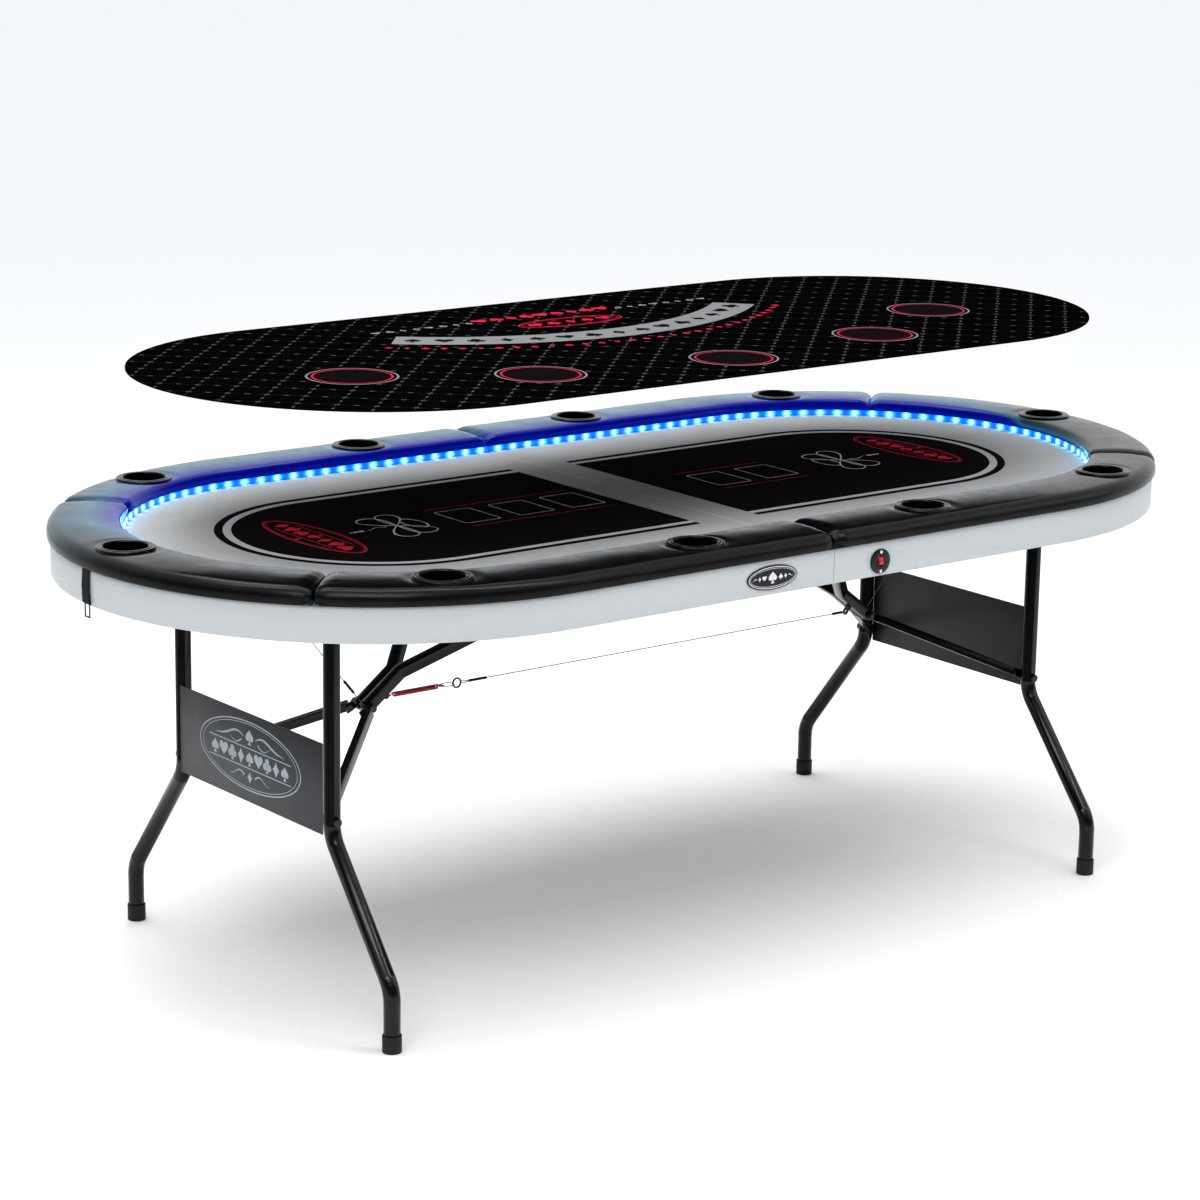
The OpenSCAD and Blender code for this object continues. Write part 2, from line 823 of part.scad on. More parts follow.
board();  // left_board
rail_base();  // left_rail_base
apron();  // left_apron
playfield();  // left_playfield
end_pad();  // left_end_pad
side_pad(left);  // left_front_pad
side_pad(right);  // left_back_pad
cup_holders();  // left_cup_holders
led_strip();  // left_led_strip
led_chips();  // left_led_chips
centre_beam();  // left_centre_beam
hinge_leaves(0);  // left_hinge_leaves
brackets();  // left_brackets
badge();
tension_spring();
tension_cable();
cable_fittings();
strap();
strap_clip();
sleeved_release_wire();  // left_release_wire
on_side(right) board();  // right_board
on_side(right) rail_base();  // right_rail_base
right_apron();
on_side(right) playfield();  // right_playfield
on_side(right) end_pad();  // right_end_pad
on_side(right) side_pad(left);  // right_front_pad
on_side(right) side_pad(right);  // right_back_pad
on_side(right) cup_holders();  // right_cup_holders
on_side(right) led_strip();  // right_led_strip
on_side(right) led_chips();  // right_led_chips
on_side(right) centre_beam();  // right_centre_beam
on_side(right) hinge_leaves(1);  // right_hinge_leaves
on_side(right) brackets();  // right_brackets
hinge_pins();
switch_plate();
switch_screws();
switch_rocker();
battery_box();
battery_cover();
on_side(right) release_wire();  // right_release_wire
leg_tube(left);  // left_leg_tube_front
leg_tube(right);  // left_leg_tube_back
leg_crossbar();  // left_leg_crossbar
leg_panel();  // left_leg_panel
foot_caps();  // left_foot_caps
leg_bolts();  // left_leg_bolts
lower_braces();  // left_lower_braces
hub_bolts();  // left_hub_bolts
upper_braces();  // left_upper_braces
on_side(right) leg_tube(left);  // right_leg_tube_front
on_side(right) leg_tube(right);  // right_leg_tube_back
on_side(right) leg_crossbar();  // right_leg_crossbar
on_side(right) leg_panel();  // right_leg_panel
on_side(right) foot_caps();  // right_foot_caps
on_side(right) leg_bolts();  // right_leg_bolts
on_side(right) lower_braces();  // right_lower_braces
on_side(right) hub_bolts();  // right_hub_bolts
on_side(right) upper_braces();  // right_upper_braces
blackjack_mat();
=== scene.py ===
import json
from math import asin, cos, degrees, exp, hypot, pi, radians, sin, sqrt

import bmesh
import bpy
import numpy as np
from mathutils import Matrix, Vector
from mathutils.geometry import delaunay_2d_cdt

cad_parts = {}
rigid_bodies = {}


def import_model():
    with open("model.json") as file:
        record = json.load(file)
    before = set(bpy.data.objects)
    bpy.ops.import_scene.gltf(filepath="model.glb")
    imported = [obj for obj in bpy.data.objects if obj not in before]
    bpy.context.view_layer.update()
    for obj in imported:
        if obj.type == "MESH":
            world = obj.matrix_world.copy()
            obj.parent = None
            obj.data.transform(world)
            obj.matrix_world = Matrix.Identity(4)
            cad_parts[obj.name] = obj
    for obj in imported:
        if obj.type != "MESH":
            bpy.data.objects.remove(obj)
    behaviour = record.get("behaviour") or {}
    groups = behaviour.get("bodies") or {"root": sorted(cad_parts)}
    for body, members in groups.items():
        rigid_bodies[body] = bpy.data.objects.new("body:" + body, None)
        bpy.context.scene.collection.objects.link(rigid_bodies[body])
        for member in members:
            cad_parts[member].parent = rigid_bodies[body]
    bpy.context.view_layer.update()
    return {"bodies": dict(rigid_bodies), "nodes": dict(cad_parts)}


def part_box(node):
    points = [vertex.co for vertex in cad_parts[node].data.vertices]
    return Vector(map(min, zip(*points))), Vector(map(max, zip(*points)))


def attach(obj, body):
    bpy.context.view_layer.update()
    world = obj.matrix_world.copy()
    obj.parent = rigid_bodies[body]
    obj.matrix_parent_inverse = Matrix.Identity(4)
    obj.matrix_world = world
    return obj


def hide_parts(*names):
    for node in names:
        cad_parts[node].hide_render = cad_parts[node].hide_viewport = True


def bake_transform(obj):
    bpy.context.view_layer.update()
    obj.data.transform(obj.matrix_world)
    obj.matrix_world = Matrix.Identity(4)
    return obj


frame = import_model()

# ---------------------------------------------------------------- sizes, in metres
MM = 0.001
LEFT, RIGHT = -1, 1
SIDES = {"left": LEFT, "right": RIGHT}

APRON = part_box("left_apron")
APRON_R = -APRON[0].y
STRAIGHT = -APRON[0].x - APRON_R
WELL_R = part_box("left_playfield")[1].y + 0.3 * MM
FIELD_LOW, FIELD_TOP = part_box("left_playfield")[0].z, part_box("left_playfield")[1].z
RAIL_R = -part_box("left_front_pad")[0].y
RAIL_LOW, RAIL_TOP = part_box("left_end_pad")[0].z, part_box("left_end_pad")[1].z
RAIL_MID = (RAIL_R + WELL_R) / 2
PAD_GAP = -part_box("left_front_pad")[1].x
FOLD_GAP = -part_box("left_playfield")[1].x

CUP_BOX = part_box("left_cup_holders")
FLANGE_R = 47.5 * MM
CUP_R = 35 * MM
CUP_OUTER_R = 37 * MM
CUP_RING = -CUP_BOX[0].y - FLANGE_R
CUP_X = 244 * MM
CUP_ANGLE = radians(22.5)
CUP_CENTRES = {
    "end": (-STRAIGHT - CUP_RING, 0),
    "front_corner": (-STRAIGHT - CUP_RING * sin(CUP_ANGLE), -CUP_RING * cos(CUP_ANGLE)),
    "back_corner": (-STRAIGHT - CUP_RING * sin(CUP_ANGLE), CUP_RING * cos(CUP_ANGLE)),
    "front": (-CUP_X, -CUP_RING),
    "back": (-CUP_X, CUP_RING),
}

LED_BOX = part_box("left_led_strip")
LED_R = LED_BOX[1].y
LED_T = 3 * MM
LED_PITCH = 33.3 * MM
MAT_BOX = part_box("blackjack_mat")
MAT_R = MAT_BOX[1].y
MAT_STRAIGHT = MAT_BOX[1].x - MAT_R
PRINT_EDGE = 62 * MM

# ---------------------------------------------------------------- materials


def add_node(tree, kind, inputs, settings):
    """Adds a shader node, with each input set to a value or linked from another node's socket."""
    made = tree.nodes.new("ShaderNode" + kind)
    for key, value in settings.items():
        setattr(made, key, value)
    for socket, value in inputs:
        if isinstance(value, bpy.types.NodeSocket):
            tree.links.new(value, made.inputs[socket])
        else:
            made.inputs[socket].default_value = value
    return made


class Shader:
    """One material's node tree, with a short call for each kind of node that it needs."""

    def __init__(self, name, colour, roughness, **sockets):
        self.material = bpy.data.materials.new(name)
        self.material.use_nodes = True
        self.tree = self.material.node_tree
        self.bsdf = self.tree.nodes["Principled BSDF"]
        self.bsdf.inputs["Base Color"].default_value = (*colour, 1)
        self.bsdf.inputs["Roughness"].default_value = roughness
        self.colour, self.roughness = colour, roughness
        for socket, value in sockets.items():
            self.bsdf.inputs[socket.replace("_", " ")].default_value = value
        self.place = self.tree.nodes.new("ShaderNodeTexCoord").outputs["Object"]

    def node(self, kind, *inputs, **settings):
        return add_node(self.tree, kind, inputs, settings)

    def stretch(self, x, y, z, turn=0.0):
        """The place in the row frame, scaled along each axis after a turn about the vertical."""
        inputs = [("Vector", self.place), ("Scale", (x, y, z)), ("Rotation", (0, 0, turn))]
        return self.node("Mapping", *inputs).outputs["Vector"]

    def noise(self, scale, detail=2.0, place=None):
        inputs = [("Vector", place or self.place), ("Scale", scale), ("Detail", detail)]
        return self.node("TexNoise", *inputs).outputs["Fac"]

    def cells(self, scale, feature="DISTANCE_TO_EDGE", place=None):
        inputs = [("Vector", place or self.place), ("Scale", scale)]
        return self.node("TexVoronoi", *inputs, feature=feature).outputs["Distance"]

    def waves(self, pitch, axis, wobble=0.0, profile="SIN"):
        # a wave texture of scale 1 repeats every 2 pi / 20 units
        inputs = [("Vector", self.place), ("Scale", 2 * pi / 20 / pitch), ("Distortion", wobble)]
        settings = {"wave_type": "BANDS", "bands_direction": axis, "wave_profile": profile}
        return self.node("TexWave", *inputs, **settings).outputs["Fac"]

    def maths(self, operation, *values):
        return self.node("Math", *enumerate(values), operation=operation).outputs[0]

    def spread(self, value, low, high, to_low=0.0, to_high=1.0):
        inputs = list(enumerate((value, low, high, to_low, to_high)))
        return self.node("MapRange", *inputs).outputs[0]

    def blend(self, share, first, second):
        """A colour between two, each a colour of three numbers or another node's output."""
        full = [c if isinstance(c, bpy.types.NodeSocket) else (*c, 1) for c in (first, second)]
        inputs = [(0, share), (6, full[0]), (7, full[1])]
        return self.node("Mix", *inputs, data_type="RGBA").outputs[2]

    def paint(self, colour):
        self.tree.links.new(colour, self.bsdf.inputs["Base Color"])

    def tint(self, share, amount):
        """Lightens and darkens the base colour with a value that lies about 0.5."""
        dark = [c * (1 - amount) for c in self.colour]
        light = [min(1, c * (1 + amount)) for c in self.colour]
        self.paint(self.blend(share, dark, light))

    def gloss(self, share, amount):
        """Varies the roughness by amount with a value from 0 to 1."""
        value = self.spread(share, 0.2, 0.8, self.roughness - amount, self.roughness + amount)
        self.tree.links.new(value, self.bsdf.inputs["Roughness"])

    def relief(self, *heights):
        """Adds bumps, each (height, distance in metres), from the coarsest to the finest."""
        normal = None
        for height, distance in heights:
            inputs = [("Height", height), ("Distance", distance)]
            if normal:
                inputs.append(("Normal", normal))
            normal = self.node("Bump", *inputs).outputs["Normal"]
        self.tree.links.new(normal, self.bsdf.inputs["Normal"])


def vinyl_material():
    """Black upholstery vinyl: pebbled grain, soft hollows in the foam under it, a little wear, and a painted
    glow of the light tape.
    """
    s = Shader("vinyl", (0.0035, 0.0035, 0.004), 0.23, Specular_IOR_Level=0.2)
    grain = s.cells(620)
    pores = s.noise(1900, 2)
    hollows = s.noise(17, 3)
    creases = s.noise(9, 5, s.stretch(5, 1, 3))
    scuffs = s.spread(s.noise(60, 8), 0.62, 0.8)
    s.paint(s.blend(s.maths("MULTIPLY", scuffs, 0.4), s.colour, (0.02, 0.02, 0.022)))
    s.gloss(s.noise(35, 4), 0.06)
    s.relief(
        (hollows, 0.3 * MM), (creases, 0.15 * MM),
        (s.spread(grain, 0.0, 0.35), 0.02 * MM), (pores, 0.006 * MM),
    )
    # painted light: the light tape's blue glow on the rail is painted into the vinyl as emission; the mesh's
    # glow attribute says how much
    near = s.node("Attribute", attribute_name="glow").outputs["Fac"]
    tint = s.blend(s.spread(near, 0.3, 0.62), (0.012, 0.10, 0.165), (0.0, 0.004, 0.22))
    s.tree.links.new(tint, s.bsdf.inputs["Emission Color"])
    s.tree.links.new(s.spread(near, 0.0, 0.3), s.bsdf.inputs["Emission Strength"])
    return s.material


def weave(s, pitch, depth):
    """Height of a plain weave: threads along X over and under threads along Y."""
    over = s.maths("MAXIMUM", s.waves(pitch, "X", 0.4), s.waves(pitch, "Y", 0.4))
    return (over, depth)


def cloth_material(name, colour, shade=0.10):
    """Brushed speed cloth, dyed or printed in one colour."""
    s = Shader(name, colour, 0.9, Sheen_Weight=0.02, Sheen_Roughness=0.4, Specular_IOR_Level=0.0)
    fuzz = s.noise(2600, 3, s.stretch(1, 0.45, 1))
    clouds = s.noise(14, 4)
    s.tint(s.maths("ADD", s.maths("MULTIPLY", fuzz, 0.6), s.maths("MULTIPLY", clouds, 0.4)), shade * 2.2)
    s.relief((s.noise(40, 3), 0.25 * MM), weave(s, 1.1 * MM, 0.10 * MM), (fuzz, 0.06 * MM))
    return s.material


def mat_material():
    """The mat's printed lattice: thin diagonal lines with a small diamond at each crossing."""
    s = Shader("mat_print", (0.0016, 0.0015, 0.0017), 0.85, Specular_IOR_Level=0.0)
    pitch = 61 * MM
    dash_wave, dash_cut = 55, -0.2
    turned = s.node("SeparateXYZ", (0, s.stretch(1 / pitch, 1 / pitch, 1, radians(45)))).outputs
    off = []
    for axis in (0, 1):
        cell = s.maths("FRACT", turned[axis])
        off.append(s.maths("ABSOLUTE", s.maths("SUBTRACT", cell, 0.5)))
    line = s.maths("MAXIMUM", *[s.spread(o, 0.487, 0.494) for o in off])
    nearest = [s.maths("SUBTRACT", 0.5, o) for o in off]
    along = s.maths("MAXIMUM", *nearest)
    across = s.maths("MINIMUM", *nearest)
    wave = s.maths("SINE", s.maths("MULTIPLY", along, dash_wave))
    dash = s.maths("MULTIPLY", line, s.maths("GREATER_THAN", wave, dash_cut))
    diamond, core = [s.maths("LESS_THAN", s.maths("ADD", *nearest), half) for half in (0.095, 0.05)]
    tick = s.maths("MULTIPLY", s.maths("LESS_THAN", across, 0.035), s.maths("GREATER_THAN", along, 0.43))
    pip = s.maths("MAXIMUM", s.maths("SUBTRACT", diamond, core), tick)
    inked = s.blend(s.maths("MULTIPLY", dash, 0.8), s.colour, (0.038, 0.039, 0.041))
    inked = s.blend(s.maths("MULTIPLY", pip, 0.9), inked, (0.075, 0.075, 0.078))
    fuzz = s.noise(2400, 3)
    s.paint(s.blend(s.spread(fuzz, 0.3, 0.8, 0, 0.12), inked, (0.005, 0.005, 0.0055)))
    s.relief((s.noise(6, 3), 1.0 * MM), weave(s, 0.9 * MM, 0.08 * MM))
    return s.material


def laminate_material(name, colour, roughness=0.42):
    """Satin laminate foil on fibreboard, with the faint streaks of its print and a few rubs."""
    s = Shader(name, colour, roughness)
    streaks = s.noise(70, 6, s.stretch(1, 1, 9))
    specks = s.noise(900, 2)
    s.tint(s.maths("ADD", s.maths("MULTIPLY", streaks, 0.7), s.maths("MULTIPLY", specks, 0.3)), 0.09)
    s.gloss(s.noise(50, 5), 0.06)
    s.relief((s.noise(7, 2), 0.5 * MM), (specks, 0.02 * MM))
    return s.material


def wood_material(name, colour):
    """Bare plywood or board: long grain along the table."""
    s = Shader(name, colour, 0.7)
    grain = s.noise(16, 8, s.stretch(1, 14, 14))
    s.tint(s.spread(grain, 0.3, 0.7), 0.3)
    s.relief((grain, 0.15 * MM))
    return s.material


def coated_material(name, colour, roughness, peel=0.05, coat=0.0, specular=0.4):
    """Powder-coated steel: a fine orange peel, dust in the gloss and small chips."""
    s = Shader(name, colour, roughness, Coat_Weight=coat, Coat_Roughness=0.12, Specular_IOR_Level=specular)
    dust = s.noise(22, 6)
    chips = s.spread(s.noise(260, 3), 0.76, 0.8)
    s.paint(s.blend(s.maths("MULTIPLY", chips, 0.3), s.colour, [c + 0.06 for c in colour]))
    s.gloss(dust, 0.06)
    s.relief((s.noise(1100, 2), peel * MM))
    return s.material


def steel_material(name, colour, roughness, streak=(1, 1, 1)):
    """Plated, bright or darkened steel with fine drawing lines and a cloudy plating."""
    s = Shader(name, colour, roughness, Metallic=1.0)
    lines = s.noise(700, 4, s.stretch(*streak))
    s.tint(s.maths("ADD", s.maths("MULTIPLY", s.noise(120, 4), 0.6), s.maths("MULTIPLY", lines, 0.4)), 0.3)
    s.gloss(s.noise(90, 5), 0.1)
    s.relief((lines, 0.03 * MM))
    return s.material


def plastic_material(name, colour, roughness, grain=0.0, specular=0.5):
    """Moulded plastic: a faint flow pattern in the gloss, and a spark-eroded grain where it is matte."""
    s = Shader(name, colour, roughness, Specular_IOR_Level=specular)
    s.tint(s.noise(300, 4), 0.15)
    s.gloss(s.noise(45, 5), 0.05)
    s.relief((s.noise(30, 2), 0.08 * MM), (s.noise(1500, 2), max(grain, 0.01) * MM))
    return s.material


def rubber_material():
    s = Shader("foot_rubber", (0.007, 0.007, 0.0075), 0.6)
    s.tint(s.noise(400, 5), 0.5)
    s.relief((s.noise(900, 4), 0.12 * MM))
    return s.material


def webbing_material():
    """Woven polypropylene webbing: diagonal ribs across the strap."""
    s = Shader("webbing", (0.006, 0.006, 0.007), 0.8, Sheen_Weight=0.05, Specular_IOR_Level=0.2)
    ribs = s.maths("MAXIMUM", s.waves(2.2 * MM, "Z", 0.5), s.waves(1.6 * MM, "Y", 0.5))
    s.tint(ribs, 0.6)
    s.relief((ribs, 0.35 * MM))
    return s.material


def strand_material():
    """Twisted wire rope: fine diagonal lays."""
    s = Shader("cable_steel", (0.16, 0.16, 0.17), 0.35, Metallic=1.0)
    lays = s.waves(1.4 * MM, "DIAGONAL", 0.0)
    s.tint(lays, 0.35)
    s.relief((lays, 0.12 * MM))
    return s.material


def foam_material():
    s = Shader("foam", (0.5, 0.5, 0.48), 0.95)
    s.tint(s.noise(500, 3), 0.2)
    s.relief((s.cells(700), 0.3 * MM))
    return s.material


def glow_material(name, core, edge, strength):
    """Lit tape or chip. The mesh's glow attribute says how near a point is to a light source."""
    s = Shader(name, core, 0.3)
    near = s.node("Attribute", attribute_name="glow").outputs["Fac"]
    speck = s.spread(s.noise(400, 2), 0.0, 1.0, 0.85, 1.1)
    s.tree.links.new(s.blend(near, edge, core), s.bsdf.inputs["Emission Color"])
    power = s.maths("MULTIPLY", s.spread(near, 0, 1, strength[0], strength[1]), speck)
    s.tree.links.new(power, s.bsdf.inputs["Emission Strength"])
    s.paint(s.blend(near, edge, core))
    return s.material


MATERIALS = {
    "vinyl": vinyl_material(),
    "cloth": cloth_material("cloth_grey", (0.47, 0.47, 0.455)),
    "cloth_light": cloth_material("print_light", (0.58, 0.58, 0.59), 0.07),
    "cloth_black": cloth_material("print_black", (0.009, 0.005, 0.0065), 0.3),
    "cloth_white": cloth_material("print_white", (0.85, 0.85, 0.85), 0.07),
    "cloth_red": cloth_material("print_red", (0.88, 0.035, 0.085), 0.1),
    "mat": mat_material(),
    "mat_dark": cloth_material("mat_plain", (0.0025, 0.0015, 0.0022), 0.3),
    "mat_grey": cloth_material("mat_grey", (0.16, 0.16, 0.165), 0.07),
    "mat_red": cloth_material("mat_red", (0.42, 0.012, 0.04), 0.1),
    "apron": laminate_material("silver_laminate", (0.46, 0.485, 0.50)),
    "board": laminate_material("black_laminate", (0.008, 0.008, 0.009), 0.5),
    "plywood": wood_material("plywood", (0.42, 0.27, 0.14)),
    "beam": wood_material("beam_stain", (0.02, 0.018, 0.017)),
    "cup": plastic_material("cup_plastic", (0.0018, 0.0018, 0.002), 0.16, 0.0, 0.22),
    "leg": coated_material("gloss_black", (0.0025, 0.0025, 0.003), 0.2, 0.03, 0.0),
    "bracket": coated_material("bracket_black", (0.005, 0.005, 0.006), 0.35),
    "panel": coated_material("panel_grey", (0.028, 0.031, 0.036), 0.42, 0.08),
    "emblem": coated_material("emblem_ink", (0.36, 0.41, 0.45), 0.45),
    "zinc": steel_material("zinc_plate", (0.30, 0.31, 0.32), 0.38),
    "bright": steel_material("bright_steel", (0.66, 0.67, 0.69), 0.22, (1, 1, 8)),
    "dark_steel": steel_material("dark_steel", (0.05, 0.05, 0.055), 0.26),
    "strand": strand_material(),
    "red_coat": coated_material("red_coat", (0.45, 0.012, 0.02), 0.28, 0.04, 0.4),
    "black_plastic": plastic_material("black_plastic", (0.004, 0.004, 0.0045), 0.3, 0.03, 0.4),
    "matte_plastic": plastic_material("matte_plastic", (0.008, 0.008, 0.009), 0.5, 0.08, 0.4),
    "red_plastic": plastic_material("red_plastic", (0.5, 0.01, 0.02), 0.2),
    "rubber": rubber_material(),
    "webbing": webbing_material(),
    "foam": foam_material(),
    "tape": glow_material("led_tape", (0.08, 0.60, 1.0), (0.0, 0.14, 0.9), (1.0, 7.5)),
    "chip": glow_material("led_chip", (0.30, 0.85, 1.0), (0.30, 0.85, 1.0), (14.0, 14.0)),
}

# ---------------------------------------------------------------- mesh helpers


def piece(name, mesh, materials, body, replaces=(), smooth=40):
    """Makes an object of a mesh, gives it its finish and makes it ride on a body."""
    obj = bpy.data.objects.new(name, mesh)
    bpy.context.scene.collection.objects.link(obj)
    for material in [materials] if isinstance(materials, str) else materials:
        mesh.materials.append(MATERIALS[material])
    if smooth:
        mesh.shade_smooth()
        mesh.set_sharp_from_angle(angle=radians(smooth))
    if replaces:
        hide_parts(*replaces)
    if body:
        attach(obj, body)
    return obj


def mesh_of(vertices, faces):
    mesh = bpy.data.meshes.new("mesh")
    mesh.from_pydata([tuple(v) for v in vertices], [], faces)
    mesh.update()
    return mesh


def outward(mesh):
    """Turns the faces of a closed mesh outward."""
    bm = bmesh.new()
    bm.from_mesh(mesh)
    bmesh.ops.recalc_face_normals(bm, faces=bm.faces)
    bm.to_mesh(mesh)
    bm.free()
    return mesh


def loft(rings, around=True, caps=True, loop=False):
    """Skins a list of rings of points. around closes each ring, and loop joins the last ring to the first."""
    count = len(rings[0])
    vertices = [p for ring in rings for p in ring]
    faces = []
    for r in range(len(rings) if loop else len(rings) - 1):
        a, b = r * count, (r + 1) % len(rings) * count
        for i in range(count if around else count - 1):
            j = (i + 1) % count
            faces.append((a + i, a + j, b + j, b + i))
    if caps and around and not loop:
        faces.append(tuple(range(count)))
        faces.append(tuple(reversed(range(len(vertices) - count, len(vertices)))))
    return outward(mesh_of(vertices, faces))


def glowing(mesh, values):
    """Gives a mesh its glow attribute, one value for each vertex."""
    mesh.attributes.new("glow", "FLOAT", "POINT").data.foreach_set("value", values)
    return mesh


def lathe(profile, steps=64, axis=Matrix.Identity(4)):
    """Turns a profile of (radius, height) about the local Z axis. Ends on the axis are closed to a point."""
    vertices, faces, rows = [], [], []
    for radius, height in profile:
        if radius < 1e-7:
            rows.append([len(vertices)] * steps)
            vertices.append(axis @ Vector((0, 0, height)))
            continue
        rows.append(list(range(len(vertices), len(vertices) + steps)))
        for i in range(steps):
            a = 2 * pi * i / steps
            vertices.append(axis @ Vector((radius * cos(a), radius * sin(a), height)))
    for low, high in zip(rows, rows[1:]):
        for i in range(steps):
            j = (i + 1) % steps
            corners = (low[i], low[j], high[j], high[i])
            faces.append(tuple(dict.fromkeys(corners)))
    return outward(mesh_of(vertices, faces))


def tube(points, radius, sides=12, caps=True):
    """A round tube along points. radius is one number, or one for each point."""
    points = [Vector(p) for p in points]
    radii = radius if isinstance(radius, (list, tuple)) else [radius] * len(points)
    tangents = [(points[min(i + 1, len(points) - 1)] - points[max(i - 1, 0)]).normalized()
                for i in range(len(points))]
    normal = tangents[0].orthogonal().normalized()
    rings = []
    for point, tangent, r in zip(points, tangents, radii):
        normal = (normal - tangent * normal.dot(tangent)).normalized()
        side = tangent.cross(normal)
        rings.append([point + r * (cos(a) * normal + sin(a) * side)
                      for a in (2 * pi * i / sides for i in range(sides))])
    return loft(rings, caps=caps)


def joined(meshes):
    """One mesh of several."""
    bm = bmesh.new()
    for mesh in meshes:
        bm.from_mesh(mesh)
        bpy.data.meshes.remove(mesh)
    whole = bpy.data.meshes.new("mesh")
    bm.to_mesh(whole)
    bm.free()
    return whole


def mirrored(mesh):
    """The mesh's mirror image about the fold."""
    mesh.transform(Matrix.Scale(-1, 4, (1, 0, 0)))
    mesh.flip_normals()
    return mesh


def on_side(mesh, side):
    """Pieces are modelled on the left half, and the right half's are mirror images."""
    return mirrored(mesh) if side == RIGHT else mesh


def arc(centre, radius, start, end, steps):
    """Points on an arc, with angles in degrees."""
    angles = [radians(start + (end - start) * i / steps) for i in range(steps + 1)]
    return [(centre[0] + radius * cos(a), centre[1] + radius * sin(a)) for a in angles]


def spaced(length, step, start=0.0):
    """Distances from start to start + length in equal steps of about the given one."""
    count = max(1, round(length / step))
    return [start + length * i / count for i in range(count + 1)]


# ---------------------------------------------------------------- flat shapes for printing
# A shape is a list of closed loops of (x, y); what lies in an odd number of them is inside.


def ellipse(centre, a, b, turn=0.0, steps=72):
    c, s = cos(turn), sin(turn)
    loop = []
    for i in range(steps):
        t = 2 * pi * i / steps
        x, y = a * cos(t), b * sin(t)
        loop.append((centre[0] + c * x - s * y, centre[1] + s * x + c * y))
    return loop


def ring(centre, a, b, width, turn=0.0, steps=72):
    return [ellipse(centre, a, b, turn, steps), ellipse(centre, a - width, b - width, turn, steps)]


def placed(loops, centre, size, turn=0.0):
    """Loops drawn in a unit square, moved, scaled and turned."""
    c, s = cos(turn) * size, sin(turn) * size
    return [[(centre[0] + c * x - s * y, centre[1] + s * x + c * y) for x, y in loop] for loop in loops]


def rectangle(x0, y0, x1, y1):
    return [(x0, y0), (x1, y0), (x1, y1), (x0, y1)]


def heart_loop(sign=1.0, steps=36):
    """A heart one unit high, or upside down with a sign of -1."""
    loop = []
    for i in range(steps):
        t = 2 * pi * i / steps
        x = 16 * sin(t) ** 3 / 31
        y = (13 * cos(t) - 5 * cos(2 * t) - 2 * cos(3 * t) - cos(4 * t) + 2.5) / 31
        loop.append((x, sign * y))
    return loop


def stem_loop():
    """The flared foot of a spade or club."""
    right = [(0.03, 0.0), (0.05, -0.25), (0.11, -0.4), (0.2, -0.5)]
    return right + [(-x, y) for x, y in reversed(right)]


PIPS = {
    "heart": [[heart_loop()]],
    "spade": [[[(0.84 * x, 0.8 * y + 0.11) for x, y in heart_loop(-1.0)]], [stem_loop()]],
    "diamond": [[[(0, 0.52), (0.17, 0.22), (0.38, 0), (0.17, -0.22), (0, -0.52),
                  (-0.17, -0.22), (-0.38, 0), (-0.17, 0.22)]]],
    "club": [[ellipse((0, 0.25), 0.24, 0.24, 0, 20)], [ellipse((-0.25, -0.08), 0.24, 0.24, 0, 20)],
             [ellipse((0.25, -0.08), 0.24, 0.24, 0, 20)], [stem_loop()]],
}
SUITS = ("spade", "heart", "club", "diamond")


def pip(suit, centre, size, turn=0.0):
    """A suit's shapes, size high."""
    return [placed(loops, centre, size, turn) for loops in PIPS[suit]]


def shares(steps):
    """Equal shares of a way, from 0 to 1."""
    return [i / steps for i in range(steps + 1)]


def stroke(points, width):
    """A pen line along points as short overlapping quads. width is a function of the share of the way."""
    shapes = []
    for i in range(len(points) - 1):
        a, b = Vector(points[i]), Vector(points[i + 1])
        along = (b - a).normalized() * 0.1 * MM
        across = Vector((-along.y, along.x)).normalized() * width(i / (len(points) - 1)) / 2
        corners = (a - along - across, b + along - across, b + along + across, a - along + across)
        shapes.append([[tuple(p) for p in corners]])
    return shapes


def outlined(loops):
    """The points of closed loops and the edges between them."""
    points, edges = [], []
    for loop in loops:
        first = len(points)
        points += [Vector(p) for p in loop]
        edges += [(first + i, first + (i + 1) % len(loop)) for i in range(len(loop))]
    return points, edges


def inside(points, loops):
    """Which points lie in an odd number of the loops."""
    odd = np.zeros(len(points), bool)
    x, y = points[:, 0], points[:, 1]
    for loop in loops:
        near = np.array(loop)
        for (x0, y0), (x1, y1) in zip(near, np.roll(near, -1, 0)):
            if y0 != y1:
                odd ^= ((y0 > y) != (y1 > y)) & (x < x0 + (y - y0) * (x1 - x0) / (y1 - y0))
    return odd


